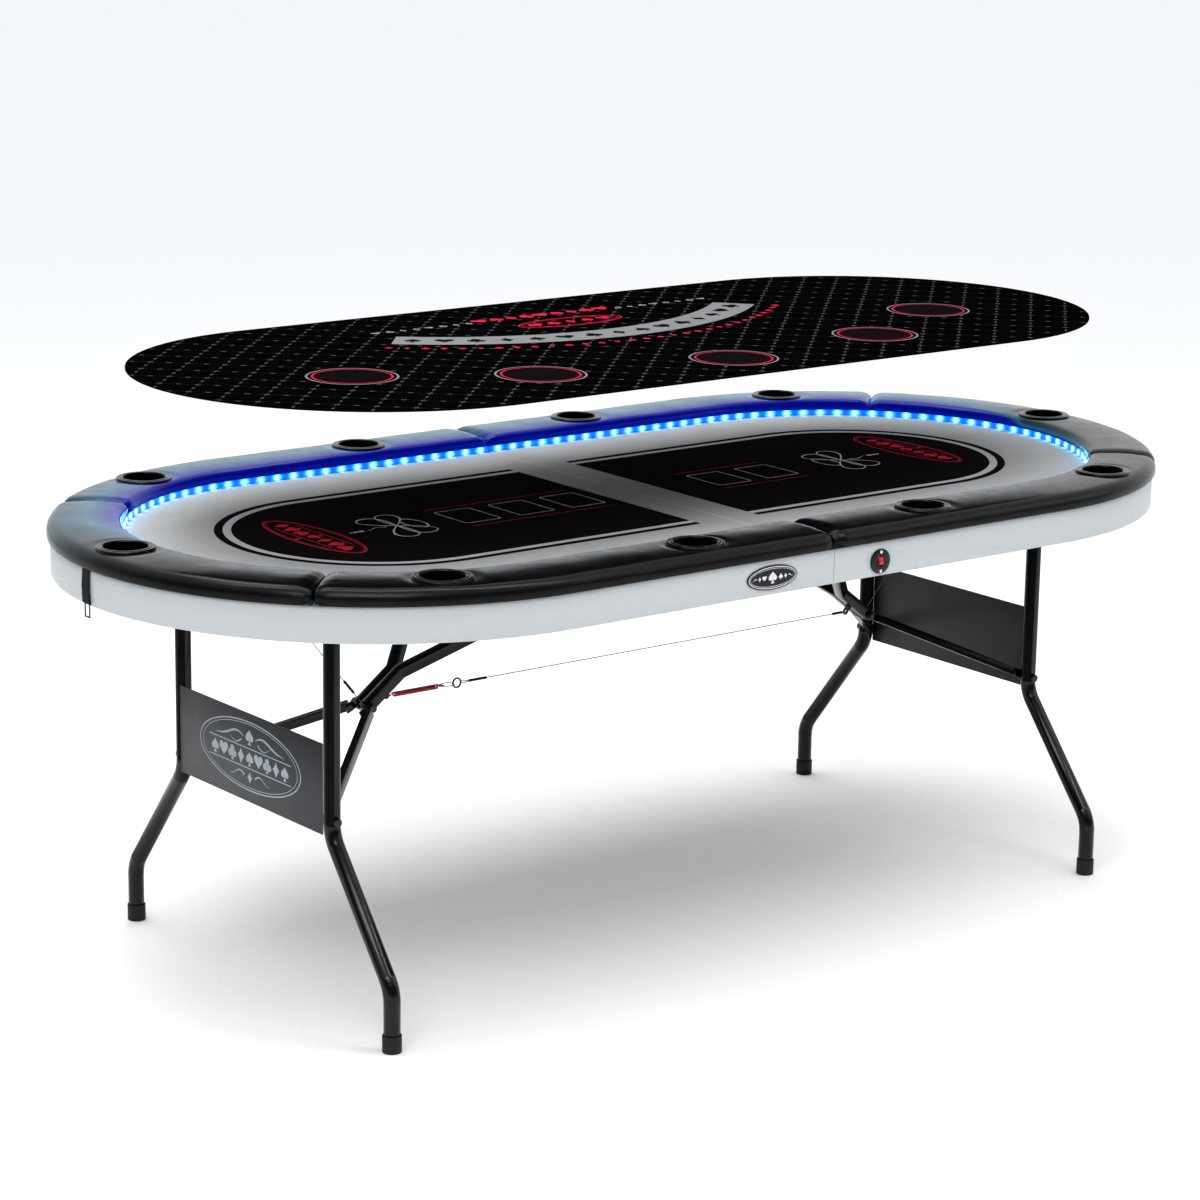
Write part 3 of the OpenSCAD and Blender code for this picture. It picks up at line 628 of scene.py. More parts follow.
def printed_sheet(outline, prints, top, thickness, rim=0.4 * MM):
    """The mesh of a flat sheet whose top is cut along every printed edge. outline(inset) gives its outline.
    prints is a list of shape lists, and a later one covers an earlier one. A face's material number is
    0 for the bare cloth, then the print's number, and then one more for the rim and the back."""
    edge = outline(rim)
    loops = [edge] + [loop for shapes in prints for shape in shapes for loop in shape]
    points, edges = outlined(loops)
    flat, _, faces, sources = delaunay_2d_cdt(points, edges, [], 0, 1e-7)[:4]
    flat = np.array([tuple(p) for p in flat])
    faces = np.array(faces)
    centres = flat[faces].mean(1)
    keep = inside(centres, [edge])
    faces, centres = faces[keep], centres[keep]
    number = np.zeros(len(faces), int)
    for index, shapes in enumerate(prints, 1):
        for shape in shapes:
            corners = np.array([p for loop in shape for p in loop])
            near = ((centres >= corners.min(0)) & (centres <= corners.max(0))).all(1)
            hit = np.flatnonzero(near)
            number[hit[inside(centres[hit], shape)]] = index
    vertices = [(x, y, top) for x, y in flat]
    made_from = {source: i for i, found in enumerate(sources) for source in found}
    lowest = [made_from[i] for i in range(len(edge))]
    all_faces, numbers = faces.tolist(), number.tolist()
    for inset, z in ((0.3 * rim, top - 0.3 * rim), (0.0, top - rim), (0.0, top - thickness)):
        start = len(vertices)
        vertices += [(x, y, z) for x, y in outline(inset)]
        row = list(range(start, len(vertices)))
        for i in range(len(row)):
            j = (i + 1) % len(row)
            all_faces.append([lowest[i], lowest[j], row[j], row[i]])
        numbers += [len(prints) + 1] * len(row)
        lowest = row
    all_faces.append(lowest)
    numbers.append(len(prints) + 1)
    mesh = outward(mesh_of(vertices, all_faces))
    mesh.polygons.foreach_set("material_index", numbers)
    bm = bmesh.new()
    bm.from_mesh(mesh)
    bmesh.ops.delete(bm, geom=[v for v in bm.verts if not v.link_faces], context="VERTS")
    bm.to_mesh(mesh)
    bm.free()
    return mesh

# ---------------------------------------------------------------- rail pads
PAD_STEP = 6 * MM
SEAM_ROLL = 26 * MM
SEAM_DEPTH = 12 * MM
SEAM_ANGLE = 45
OUTER_ROUND = 20 * MM
INNER_ROUND = 15 * MM
TUCK = 3 * MM
CROWN_RISE = 0.6 * MM
# gathers at the seams, slack in the vinyl, and how the cups' flanges press it down
GATHER, GATHER_FADE, INNER_PULL = 0.6 * MM, 32 * MM, 0.55
SLACK = 0.35 * MM
PRESS_OUTER, PRESS_WIDTH, PRESS_SHARE = 66 * MM, 18 * MM, 0.8
# painted light: how far the light tape's painted glow reaches across and up the rail, and how much painted
# glow is put on the rail's top
GLOW_REACH = (62 * MM, 80 * MM)
FRONT_REACH = 5 * MM
SPILL, SPILL_FADE = 0.3, 0.75


def rail_section():
    """The rail's section as (distance from the arc centre, height, outward direction)."""
    top = (RAIL_MID, RAIL_TOP)
    points = [(WELL_R + TUCK, RAIL_LOW)]
    points += arc((WELL_R + TUCK, RAIL_LOW + TUCK), TUCK, 270, 180, 4)
    points += arc((WELL_R + INNER_ROUND, RAIL_TOP - 2 * MM - INNER_ROUND), INNER_ROUND, 180, 100, 9)
    inner = points[-1]
    outer = arc((RAIL_R - OUTER_ROUND, RAIL_TOP - 3 * MM - OUTER_ROUND), OUTER_ROUND, 80, 0, 12)
    for a, b in ((inner, top), (top, outer[0])):
        for i in range(1, 5):
            share = i / 5
            rise = CROWN_RISE * sin(pi * share)
            points.append((a[0] + (b[0] - a[0]) * share, a[1] + (b[1] - a[1]) * share + rise))
        if b is top:
            points.append(top)
    points += outer
    points += arc((RAIL_R - TUCK, RAIL_LOW + TUCK), TUCK, 0, -90, 4)
    points += [(RAIL_R - TUCK - (RAIL_R - WELL_R - 2 * TUCK) * i / 8, RAIL_LOW) for i in range(1, 8)]
    section = []
    for i, (r, z) in enumerate(points):
        before, after = points[i - 1], points[(i + 1) % len(points)]
        along = Vector((after[0] - before[0], after[1] - before[1])).normalized()
        section.append((r, z, -along.y, along.x))
    return section


SECTION = rail_section()


def seam_inset(distance):
    """How far the vinyl has turned in, at a distance from the pad's end."""
    share = min(1.0, distance / SEAM_ROLL)
    return SEAM_DEPTH * (1 - sqrt(1 - (1 - share) ** 2))


def pad_ring(place, distance, start):
    """One ring of a pad. place(r) gives the plan point, and distance is to the nearer end of the pad."""
    inset = seam_inset(distance)
    fade = exp(-distance / GATHER_FADE)
    points = []
    for i, (r, z, out_r, out_z) in enumerate(SECTION):
        side = INNER_PULL if r < RAIL_MID - 20 * MM else 1.0
        gather = GATHER * fade * sin(i * 2.3 + start * 7.0) * (out_z > -0.5)
        slack = SLACK * sin(start * 31 + i * 0.35) * sin(start * 17 + 1.7) * (out_z > 0.1)
        pull = inset * (1.0 if out_z > -0.5 else 0.0)
        r2 = r - out_r * (pull * side + gather + slack * 0.5)
        z2 = max(RAIL_LOW, z - out_z * (pull + gather + slack))
        x, y = place(r2)
        near_cup = min(hypot(x - cx, y - cy) for cx, cy in CUP_CENTRES.values())
        press = max(0.0, min(1.0, (PRESS_OUTER - near_cup) / PRESS_WIDTH))
        if z2 > RAIL_TOP - 12 * MM:
            smooth = press * press * (3 - 2 * press)
            z2 = min(z2, z2 - smooth * (z2 - (RAIL_TOP - 3 * MM)) * PRESS_SHARE)
        points.append((x, y, z2))
    return points


def pad_distances(length):
    """Ring places along a pad: close together where its ends roll in."""
    roll = [SEAM_ROLL * (1 - cos(pi / 2 * i / 9)) for i in range(9)]
    middle = spaced(length - 2 * SEAM_ROLL, PAD_STEP, SEAM_ROLL)
    return roll + middle + [length - d for d in reversed(roll)]


def end_pad():
    start = 180 - SEAM_ANGLE
    length = radians(2 * SEAM_ANGLE) * RAIL_MID
    gap = PAD_GAP / RAIL_MID
    rings = []
    for d in pad_distances(length):
        angle = radians(start) + gap + (radians(2 * SEAM_ANGLE) - 2 * gap) * d / length
        rings.append(pad_ring(
            lambda r, a=angle: (-STRAIGHT + r * cos(a), r * sin(a)), min(d, length - d), d))
    return loft(rings)


def side_pad(side):
    """The pad from the fold to the seam on the end, front (side -1) or back (side 1)."""
    arc_length = radians(90 - SEAM_ANGLE) * RAIL_MID
    straight = STRAIGHT - PAD_GAP
    length = arc_length + straight - PAD_GAP
    rings = []
    for d in pad_distances(length):
        if d <= straight:
            def place(r, x=-PAD_GAP - d):
                return x, side * r
        else:
            def place(r, a=radians(90) + (d - straight) / RAIL_MID):
                return -STRAIGHT + r * cos(a), side * r * sin(a)
        rings.append(pad_ring(place, min(d, length - d), d + (3 + side) * 0.37))
    return loft(rings)


def cup_cutter(centres, radius):
    return joined([lathe([(0, RAIL_LOW - 9 * MM), (radius, RAIL_LOW - 9 * MM), (radius, RAIL_TOP + 9 * MM),
                          (0, RAIL_TOP + 9 * MM)], 48, Matrix.Translation((x, y, 0))) for x, y in centres])


def carved(mesh, cutter):
    """The mesh less the cutter, as a new mesh."""
    body, tool = [bpy.data.objects.new("work", m) for m in (mesh, cutter)]
    for obj in (body, tool):
        bpy.context.scene.collection.objects.link(obj)
    cut = body.modifiers.new("cut", "BOOLEAN")
    cut.object, cut.operation, cut.solver = tool, "DIFFERENCE", "EXACT"
    bpy.context.view_layer.update()
    made = bpy.data.meshes.new_from_object(body.evaluated_get(bpy.context.evaluated_depsgraph_get()))
    for obj in (body, tool):
        bpy.data.objects.remove(obj)
    return made


def lit(mesh):
    """Gives the rail its glow attribute for the painted light of the lit tape: how strongly the tape below
    its inner face would shine on a point, with a painted spill on the back rail's top.
    """
    glow = []
    for v in mesh.vertices:
        x, y, z = v.co
        run = max(0.0, -x - STRAIGHT)
        radius = hypot(run, y)
        out, up = radius - WELL_R, max(0.0, z - LED_BOX[1].z)
        faces_in = (v.normal.x * run - v.normal.y * y) / radius
        behind = min(1.0, max(0.0, y / (0.45 * WELL_R)))
        reach_up = FRONT_REACH + behind * GLOW_REACH[1]
        near = exp(-max(0.0, out - INNER_ROUND) / GLOW_REACH[0] - up / reach_up)
        # painted light: a spill of the tape's glow painted on the back rail's top, which the tape does not
        # light
        across = max(0.0, 1 - SPILL_FADE * out / (RAIL_R - WELL_R))
        spill = SPILL * behind * max(0.0, v.normal.z) * across
        glow.append(max(spill, near * min(1.0, max(0.0, 1.4 * faces_in + 0.75 * behind))))
    return glowing(mesh, glow)


def make_pads():
    shapes = {
        "end_pad": (end_pad, ["end"]),
        "front_pad": (lambda: side_pad(-1), ["front", "front_corner"]),
        "back_pad": (lambda: side_pad(1), ["back", "back_corner"]),
    }
    for part, (shape, cups) in shapes.items():
        whole = shape()
        for name, side in SIDES.items():
            cutter = cup_cutter([CUP_CENTRES[c] for c in cups], CUP_OUTER_R + 1 * MM)
            mesh = on_side(lit(carved(whole.copy(), cutter)), side)
            part_name = f"{name}_{part}"
            pad = piece(f"{part_name}_vinyl", mesh, "vinyl", f"{name}_half", [part_name], 50)


# ---------------------------------------------------------------- cup holders


def cup_holder(centre):
    floor, rim = CUP_BOX[0].z, CUP_BOX[1].z
    seat = RAIL_TOP - 5 * MM
    inner = [(0, floor + 2 * MM), (26 * MM, floor + 2 * MM), (26.5 * MM, floor + 2.5 * MM),
             (29 * MM, floor + 2.5 * MM)]
    inner += arc((CUP_R - 6.5 * MM, floor + 9 * MM), 5.5 * MM, -80, 0, 6)
    inner += [(CUP_R - 0.6 * MM, floor + 30 * MM), (CUP_R, rim - 6 * MM)]
    inner += arc((CUP_R + 3 * MM, rim - 3.2 * MM), 3 * MM, 180, 90, 6)
    flange = [(CUP_R + 5.6 * MM, rim - 0.5 * MM), (CUP_R + 6.2 * MM, rim - 1.2 * MM),
              (CUP_R + 6.8 * MM, rim - 0.9 * MM)]
    flange += arc((FLANGE_R - 2.4 * MM, rim - 3.5 * MM), 2.4 * MM, 78, 0, 6)
    flange += [(FLANGE_R, seat), (FLANGE_R - 1.2 * MM, seat), (FLANGE_R - 1.6 * MM, rim - 4 * MM),
               (CUP_OUTER_R, rim - 4 * MM), (CUP_OUTER_R - 0.6 * MM, floor + 8 * MM)]
    foot = arc((CUP_OUTER_R - 7 * MM, floor + 6 * MM), 6 * MM, 0, -90, 5) + [(0, floor)]
    return lathe(inner + flange + foot, 72, Matrix.Translation((*centre, 0)))


def make_cups():
    for name, side in SIDES.items():
        for cup, centre in CUP_CENTRES.items():
            mesh = on_side(cup_holder(centre), side)
            nodes = [f"{name}_cup_holders"] if cup == "end" else []
            piece(f"{name}_{cup}_cup", mesh, "cup", f"{name}_half", nodes, 35)


# ---------------------------------------------------------------- light strip


def strip_point(distance, radius):
    """Plan point and inward direction at a distance along the strip from the fold, back side first."""
    turn = pi * LED_R
    if distance < STRAIGHT:
        return Vector((-distance, radius)), Vector((0, -1))
    if distance < STRAIGHT + turn:
        a = pi / 2 + (distance - STRAIGHT) / LED_R
        out = Vector((cos(a), sin(a)))
        return Vector((-STRAIGHT, 0)) + radius * out, -out
    return Vector((-(2 * STRAIGHT + turn - distance), -radius)), Vector((0, 1))


def chip_places():
    length = 2 * STRAIGHT + pi * (LED_R - LED_T)
    count = int(length / LED_PITCH)
    first = (length - (count - 1) * LED_PITCH) / 2
    scale = (2 * STRAIGHT + pi * LED_R) / length
    return [(first + i * LED_PITCH) * scale for i in range(count)]


def led_strip(places):
    """Soft tape with a domed face. Its glow attribute is 1 beside a chip and falls off between them."""
    low, high = LED_BOX[0].z, LED_BOX[1].z
    middle, half = (low + high) / 2, (high - low) / 2
    section = [(0, -half), (0.8 * MM, -half), (1.4 * MM, -half * 0.7), (1.7 * MM, 0), (1.4 * MM, half * 0.7),
               (0.8 * MM, half), (0, half)]
    end = 2 * STRAIGHT + pi * LED_R - 1 * MM
    rings, glow = [], []
    for d in spaced(end - 1 * MM, 3 * MM, 1 * MM):
        base, inward = strip_point(d, LED_R)
        near = min(abs(d - p) for p in places)
        for out, up in section:
            glow.append(exp(-(near / (7 * MM)) ** 2) * (1 - 0.5 * abs(up) / half))
        rings.append([(*(base + inward * (out + 0.1 * MM)), middle + up) for out, up in section])
    return glowing(loft(rings), glow)


def led_chips(places):
    """Square chips with a chamfered face."""
    middle = (LED_BOX[0].z + LED_BOX[1].z) / 2
    chips = []
    for d in places:
        base, inward = strip_point(d, LED_R)
        along = Vector((-inward.y, inward.x, 0))
        inward = Vector((*inward, 0))
        start = Vector((*base, middle)) + inward * 1.5 * MM
        rings = []
        for out, half in ((0, 2.5 * MM), (1.2 * MM, 2.5 * MM), (1.6 * MM, 2.1 * MM), (1.8 * MM, 1.2 * MM)):
            rings.append([start + inward * out + along * u * half + Vector((0, 0, w * half))
                          for u, w in ((-1, -1), (1, -1), (1, 1), (-1, 1))])
        chips.append(loft(rings))
    mesh = joined(chips)
    return glowing(mesh, [1.0] * len(mesh.vertices))


def make_lights():
    places = chip_places()
    for name, side in SIDES.items():
        strip, chips = on_side(led_strip(places), side), on_side(led_chips(places), side)
        piece(f"{name}_led_tape", strip, "tape", f"{name}_half", [f"{name}_led_strip"], 60)
        piece(f"{name}_led_lamps", chips, "chip", f"{name}_half", [f"{name}_led_chips"], 60)


# ---------------------------------------------------------------- well cloth
CARD = (74 * MM, 98 * MM)
LINE = 2.6 * MM
CARD_GROUPS = {LEFT: (-382, -271, -163), RIGHT: (161, 271)}
RAIL_LINES = {LEFT: (-386, -88), RIGHT: (156, 346)}
ELLIPSE_X = {LEFT: -643 * MM, RIGHT: 655 * MM}
PANEL_R = 238 * MM
RING_R = (252 * MM, 266 * MM)
OVAL_HALF = (44.5 * MM, 138.5 * MM)
FOLD_LINE = 2.6 * MM


def half_stadium(radius, edge):
    """The left half of a stadium, cut off at x = edge."""
    steps = 12
    run = STRAIGHT + edge
    loop = [(edge - run * i / steps, radius) for i in range(steps)]
    loop += arc((-STRAIGHT, 0), radius, 90, 270, 96)
    return loop + [(-STRAIGHT + run * i / steps, -radius) for i in range(1, steps + 1)]


def card_outline(centre, border=LINE):
    """A rounded card frame as an outer and an inner loop."""
    loops = []
    for inset in (0.0, border):
        half = (CARD[0] / 2 - inset, CARD[1] / 2 - inset)
        radius = 7 * MM - inset
        loop = []
        for sx, sy, start in ((1, 1, 0), (-1, 1, 90), (-1, -1, 180), (1, -1, 270)):
            corner = (centre[0] + sx * (half[0] - radius), centre[1] + sy * (half[1] - radius))
            loop += arc(corner, radius, start, start + 90, 6)
        loops.append(loop)
    return loops


def well_prints(side):
    """What is printed on one half. The right half mirrors the left, with its own card places."""
    edge = -PRINT_EDGE
    mirror = -side

    def on_half(loops):
        return [[(mirror * x, y) for x, y in loop] for loop in loops]

    light = [on_half([half_stadium(RING_R[0], edge)])]
    fold = sorted(side * (FOLD_GAP + off) for off in (0.9 * MM, 0.9 * MM + FOLD_LINE))
    light.append([rectangle(fold[0], -WELL_R + 2 * MM, fold[1], WELL_R - 2 * MM)])
    line = [on_half([half_stadium(RING_R[1], edge), half_stadium(RING_R[0], edge)])]
    panel = [on_half([half_stadium(PANEL_R, edge)])]
    red, white = [], []
    for x in CARD_GROUPS[side]:
        white.append(card_outline((x * MM + CARD[0] / 2, 0)))
    start, end = [x * MM for x in RAIL_LINES[side]]
    for y in (-70 * MM, 70 * MM):
        red.append([rectangle(start, y - LINE / 2, end, y + LINE / 2)])
    centre = (ELLIPSE_X[side], 9 * MM)
    turn = mirror * pi / 2
    red += emblem_ellipse(centre, OVAL_HALF)
    for i in range(7):
        red += pip(SUITS[(i + 1) % 4], (centre[0], centre[1] + (i - 3) * 32 * MM), 30 * MM, turn)
    for off, reach in ((21 * MM, 84 * MM), (-21 * MM, 84 * MM)):
        red.append([rectangle(centre[0] + off - 0.9 * MM, centre[1] - reach, centre[0] + off + 0.9 * MM,
                              centre[1] + reach)])
    red += pip("diamond", (centre[0] - mirror * 32 * MM, centre[1]), 15 * MM, turn)
    white += flourish((mirror * -486 * MM, 2 * MM), mirror)
    return [light, line, panel, white, red]


def emblem_ellipse(centre, half, width=LINE, gap=5 * MM):
    """A double oval line."""
    return [ring(centre, half[0], half[1], width), ring(centre, half[0] - gap, half[1] - gap, width * 0.6)]


def flourish(centre, mirror):
    """Two crossed pen loops and an oval, with a trailing line of drops towards the table's end."""
    shapes = []

    def at(x, y):
        return centre[0] + mirror * x, centre[1] + mirror * y

    def swell(t):
        return (2.2 + 2.0 * abs(sin(3 * pi * t))) * MM

    for lean, long_side, wide in ((0.32, 82 * MM, 40 * MM), (-0.42, 74 * MM, 46 * MM)):
        eight = []
        for i in range(73):
            a = 2 * pi * i / 72
            u, v = long_side * sin(a), wide * sin(2 * a) / 2
            eight.append(at(v * cos(lean) + u * sin(lean), u * cos(lean) - v * sin(lean)))
        shapes += stroke(eight, swell)
    ring_line = [at((34 + 17 * cos(a)) * MM, 34 * sin(a) * MM)
                 for a in (2 * pi * i / 48 for i in range(49))]
    shapes += stroke(ring_line, swell)
    tail = [at(-(20 + 46 * t) * MM, (6 * sin(5 * t)) * MM) for t in shares(24)]
    shapes += stroke(tail, lambda t: 3.4 * MM * (1.1 - t))
    for x, r in ((-73 * MM, 4.6 * MM), (-84 * MM, 3.6 * MM), (-93 * MM, 2.6 * MM)):
        shapes.append([ellipse(at(x, -4 * MM), r * 1.3, r, 0, 20)])
    return shapes


def make_well():
    low, high = FIELD_LOW, FIELD_TOP
    cloth_t = 1.2 * MM
    for name, side in SIDES.items():

        def outline(inset, edge=-FOLD_GAP):
            loop = half_stadium(WELL_R - 0.3 * MM - inset, edge - inset)
            return loop if side == LEFT else [(-x, y) for x, y in loop]

        under = high - cloth_t
        levels = ((0.5 * MM, low), (0, low + 0.5 * MM), (0, under - 0.4 * MM), (0.4 * MM, under))
        slab = loft([[(*p, z) for p in outline(inset)] for inset, z in levels])
        foam = piece(f"{name}_well_foam", slab, "foam", f"{name}_half", (), 40)
        names = ["cloth", "cloth_light", "cloth_black", "cloth_black", "cloth_white", "cloth_red", "cloth"]
        sheet = printed_sheet(outline, well_prints(side), high, cloth_t)
        cloth = piece(f"{name}_well_cloth", sheet, names, f"{name}_half",
                      [f"{name}_playfield"], 60)


# ---------------------------------------------------------------- game mat
SPOTS = ((675, -75), (390, -235), (0, -290), (-390, -235), (-675, -75))
LAYOUT_SCALE = 0.92


MAT_LINE = 3.6 * MM
BAND_HUB = 659 * MM
BAND_R = (576 * MM, 659 * MM)
BAND_SPAN = degrees(asin(406 / 620))


def on_arc(radius, share):
    """A place on the band's circle and the turn of what stands there. share runs from -1 to 1."""
    angle = radians(270 + share * BAND_SPAN)
    return (radius * cos(angle), BAND_HUB + radius * sin(angle)), angle + pi / 2


def mat_prints():
    """The player spots, the dealer's band of pips, and rows of pips where a layout has its rules."""
    grey, dark, red = [], [], []
    for x, y in SPOTS:
        at = (x * MM, y * MM)
        dark.append([ellipse(at, 82 * MM, 82 * MM)])
        grey.append(ring(at, 81 * MM, 81 * MM, MAT_LINE))
        red.append(ring(at, 71 * MM, 71 * MM, MAT_LINE))
    grey.append([arc((0, BAND_HUB), BAND_R[1], 270 - BAND_SPAN, 270 + BAND_SPAN, 60)
                 + arc((0, BAND_HUB), BAND_R[0], 270 + BAND_SPAN, 270 - BAND_SPAN, 60)])
    band = []
    for i in range(15):
        at, turn = on_arc((BAND_R[0] + BAND_R[1]) / 2, (i - 7) / 7.6)
        band += pip(SUITS[i % 4], at, 36 * MM, turn)
    for i in range(31):
        at, turn = on_arc(700 * MM, (i - 15) / 15)
        if i % 4 == 3:
            red += pip("diamond", at, 21 * MM, turn)
        else:
            red += pip(SUITS[(i * 3) % 4], at, 17 * MM, turn)
    red += [ring((0, 190 * MM), 120 * MM, 42 * MM, 3.4 * MM),
            ring((0, 190 * MM), 112 * MM, 35 * MM, 1.8 * MM)]
    for i in range(5):
        red += pip(SUITS[(i + 1) % 4], ((i - 2) * 40 * MM, 190 * MM), 30 * MM)
    for i in range(9):
        red += pip(SUITS[(i * 3 + 1) % 4], ((i - 4) * 36 * MM, 282 * MM), 34 * MM)
    for flip in (1, -1):
        for i in range(8):
            grey += pip(SUITS[(i * 3) % 4], (flip * (178 + 30 * i) * MM, 272 * MM), 19 * MM)
    return [[placed(shape, (0, 0), LAYOUT_SCALE) for shape in shapes] for shapes in (dark, grey, band, red)]


def make_mat():
    low, high = MAT_BOX[0].z, MAT_BOX[1].z

    def outline(inset):
        loop = arc((MAT_STRAIGHT, 0), MAT_R - inset, -90, 90, 90)
        return loop + arc((-MAT_STRAIGHT, 0), MAT_R - inset, 90, 270, 90)

    names = ["mat", "mat_dark", "mat_grey", "mat_dark", "mat_red", "mat_dark"]
    sheet = printed_sheet(outline, mat_prints(), high, high - low, 0.6 * MM)
    mat = piece("game_mat", sheet, names, "mat", ["blackjack_mat"], 60)


# ---------------------------------------------------------------- cable, spring and release wires
CABLE_Z = 446 * MM
CABLE_T = 0.8 * MM
EYE_X = 508 * MM
RING_AT = -365 * MM
RING_SIZE = (8 * MM, 1.5 * MM)
HALF_CABLE = 200 * MM
COIL_R = 3.6 * MM
COIL_WIRE = 0.95 * MM
COIL_ENDS = (-494 * MM, -406 * MM)
COIL_TURNS = 34
SPRING_HOOK_AT = -405 * MM
LEFT_SLEEVE = (-341 * MM, -303 * MM)
RIGHT_SLEEVE = (476 * MM, 500 * MM)
WIRE_LOW = Vector((-553 * MM, 0, 437 * MM))
WIRE_HIGH = Vector((-754 * MM, 0, 679 * MM))
WIRE_SLEEVE = (31 * MM, 61 * MM)


def helix(start, end, turns, radius, steps=14):
    """Points of a coil along X."""
    points = []
    for i in range(turns * steps + 1):
        a = 2 * pi * i / steps
        x = start + (end - start) * i / (turns * steps)
        points.append((x, radius * sin(a), CABLE_Z + radius * cos(a)))
    return points


def hook(x, toward, radius):
    """An open loop in the level plane, from the coil's axis round to its far side."""
    loop = []
    for i in range(22):
        a = pi + 2 * pi * 0.92 * i / 21
        loop.append((x - toward * radius * (1 + cos(a)), radius * sin(a), CABLE_Z))
    return loop


def lead_in(coil, target, steps=6):
    """Points that ease from the coil's end to its axis."""
    a, b = Vector(coil), Vector(target)
    arch = 0.8 * MM
    return [a.lerp(b, i / steps) + Vector((0, 0, arch * sin(pi * i / steps)))
            for i in range(1, steps)]


def tension_spring():
    coil = helix(*COIL_ENDS, COIL_TURNS, COIL_R)
    left = list(reversed(hook(-500 * MM, 1, 4 * MM)))
    right = hook(-400 * MM, -1, 3.6 * MM)
    path = left + list(reversed(lead_in(coil[0], left[-1]))) + coil + lead_in(coil[-1], right[0]) + right
    return tube(path, COIL_WIRE, 8)


def rope(start, end):
    steps = spaced(abs(end - start), 12 * MM)
    sign = 1 if end > start else -1
    return tube([(start + sign * d, 0, CABLE_Z) for d in steps], CABLE_T, 10)


def rope_loop(x, reach):
    """The loop at a rope's end, which leaves its sleeve at x and goes round something reach away."""
    loop = []
    for i in range(25):
        a = 2 * pi * i / 24
        aside = 0.42 * abs(reach) * sin(a) * sin(a / 2)
        loop.append((x + reach * (1 - cos(a)) / 2, aside, CABLE_Z))
    return tube(loop, CABLE_T, 10)


def sleeve(start, end, radius):
    """A crimped sleeve from point to point, with rounded ends and two pressed waists."""
    start, end = Vector(start), Vector(end)
    points, radii = [], []
    for share in (0, 0.02, 0.06, 0.22, 0.28, 0.34, 0.5, 0.66, 0.72, 0.78, 0.94, 0.98, 1):
        points.append(start.lerp(end, share))
        waist = 0.86 if share in (0.28, 0.72) else 1.0
        radii.append(radius * (0.62 if share in (0, 1) else 0.9 if share in (0.02, 0.98) else waist))
    return tube(points, radii, 20)


def torus(centre, radius, thickness):
    """A ring that stands upright, with its axis along Y."""
    rings = []
    for i in range(48):
        a = 2 * pi * i / 48
        out = Vector((cos(a), 0, sin(a)))
        middle = Vector(centre) + out * radius
        rings.append([middle + thickness * (cos(b) * out + Vector((0, sin(b), 0)))
                      for b in (2 * pi * j / 16 for j in range(16))])
    return loft(rings, caps=False, loop=True)


def bent(name, mesh, material, slot, between, start, end, nodes=()):
    """A piece that rides on no body, with its place baked into its mesh."""
    obj = piece(name, mesh, material, None, nodes, 60)
    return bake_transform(obj)


def make_cables():
    at = [Vector((x, 0, CABLE_Z)) for x in (-400 * MM, -HALF_CABLE, HALF_CABLE, RIGHT_SLEEVE[0])]
    left, middle = ("left_upper_brace", "left_half"), ("left_half", "right_half")
    right = ("right_half", "right_upper_brace")
    piece("tension_spring_coil", tension_spring(), "red_coat", "left_upper_brace",
          ["tension_spring"])
    ring_near, ring_far = RING_AT - RING_SIZE[0], RING_AT + RING_SIZE[0]
    spring_loop = rope_loop(SPRING_HOOK_AT, ring_near + 1 * MM - SPRING_HOOK_AT)
    ring_loop = rope_loop(LEFT_SLEEVE[0], ring_far - 1 * MM - LEFT_SLEEVE[0])
    eye_loop = rope_loop(RIGHT_SLEEVE[1], EYE_X - RIGHT_SLEEVE[1])
    ropes = {
        "cable_left": (joined([spring_loop, ring_loop, rope(LEFT_SLEEVE[1], -HALF_CABLE)]),
                       left, at[0], at[1], ["tension_cable"]),
        "cable_middle": (rope(-HALF_CABLE, HALF_CABLE), middle, at[1], at[2], []),
        "cable_right": (joined([rope(HALF_CABLE, RIGHT_SLEEVE[0]), eye_loop]), right, at[2], at[3], []),
    }
    for name, (mesh, between, start, end, nodes) in ropes.items():
        bent(name, mesh, "strand", "cable_steel", between, start, end, nodes)
    level = (0, CABLE_Z)
    fittings = {
        "cable_ring": (torus((RING_AT, *level), *RING_SIZE), "dark_steel", left, at[0], at[1]),
        "cable_left_sleeve": (sleeve((LEFT_SLEEVE[0], *level), (LEFT_SLEEVE[1], *level), 2.4 * MM),
                              "matte_plastic", left, at[0], at[1]),
        "cable_right_sleeve": (sleeve((RIGHT_SLEEVE[0], *level), (RIGHT_SLEEVE[1], *level), 2.4 * MM),
                               "matte_plastic", right, at[2], at[3]),
    }
    for name, (mesh, material, between, start, end) in fittings.items():
        nodes = ["cable_fittings"] if name == "cable_ring" else []
        bent(name, mesh, material, "fitting_black", between, start, end, nodes)
    along = (WIRE_HIGH - WIRE_LOW).normalized()
    start = WIRE_LOW + along * 8 * MM
    for name, side in SIDES.items():
        between = (f"{name}_upper_brace", f"{name}_half")
        wire = on_side(tube([start.lerp(WIRE_HIGH, i / 30) for i in range(31)], 0.8 * MM, 10), side)
        ends = [Vector((-side * p.x, p.y, p.z)) for p in (WIRE_LOW, WIRE_HIGH)]
        bent(f"{name}_pull_wire", wire, "strand", "cable_steel", between, *ends, [f"{name}_release_wire"])
    grip = sleeve(WIRE_LOW + along * WIRE_SLEEVE[0], WIRE_LOW + along * WIRE_SLEEVE[1], 2.4 * MM)
    bent("left_wire_sleeve", grip, "matte_plastic", "fitting_black", ("left_upper_brace", "left_half"),
         WIRE_LOW, WIRE_HIGH)


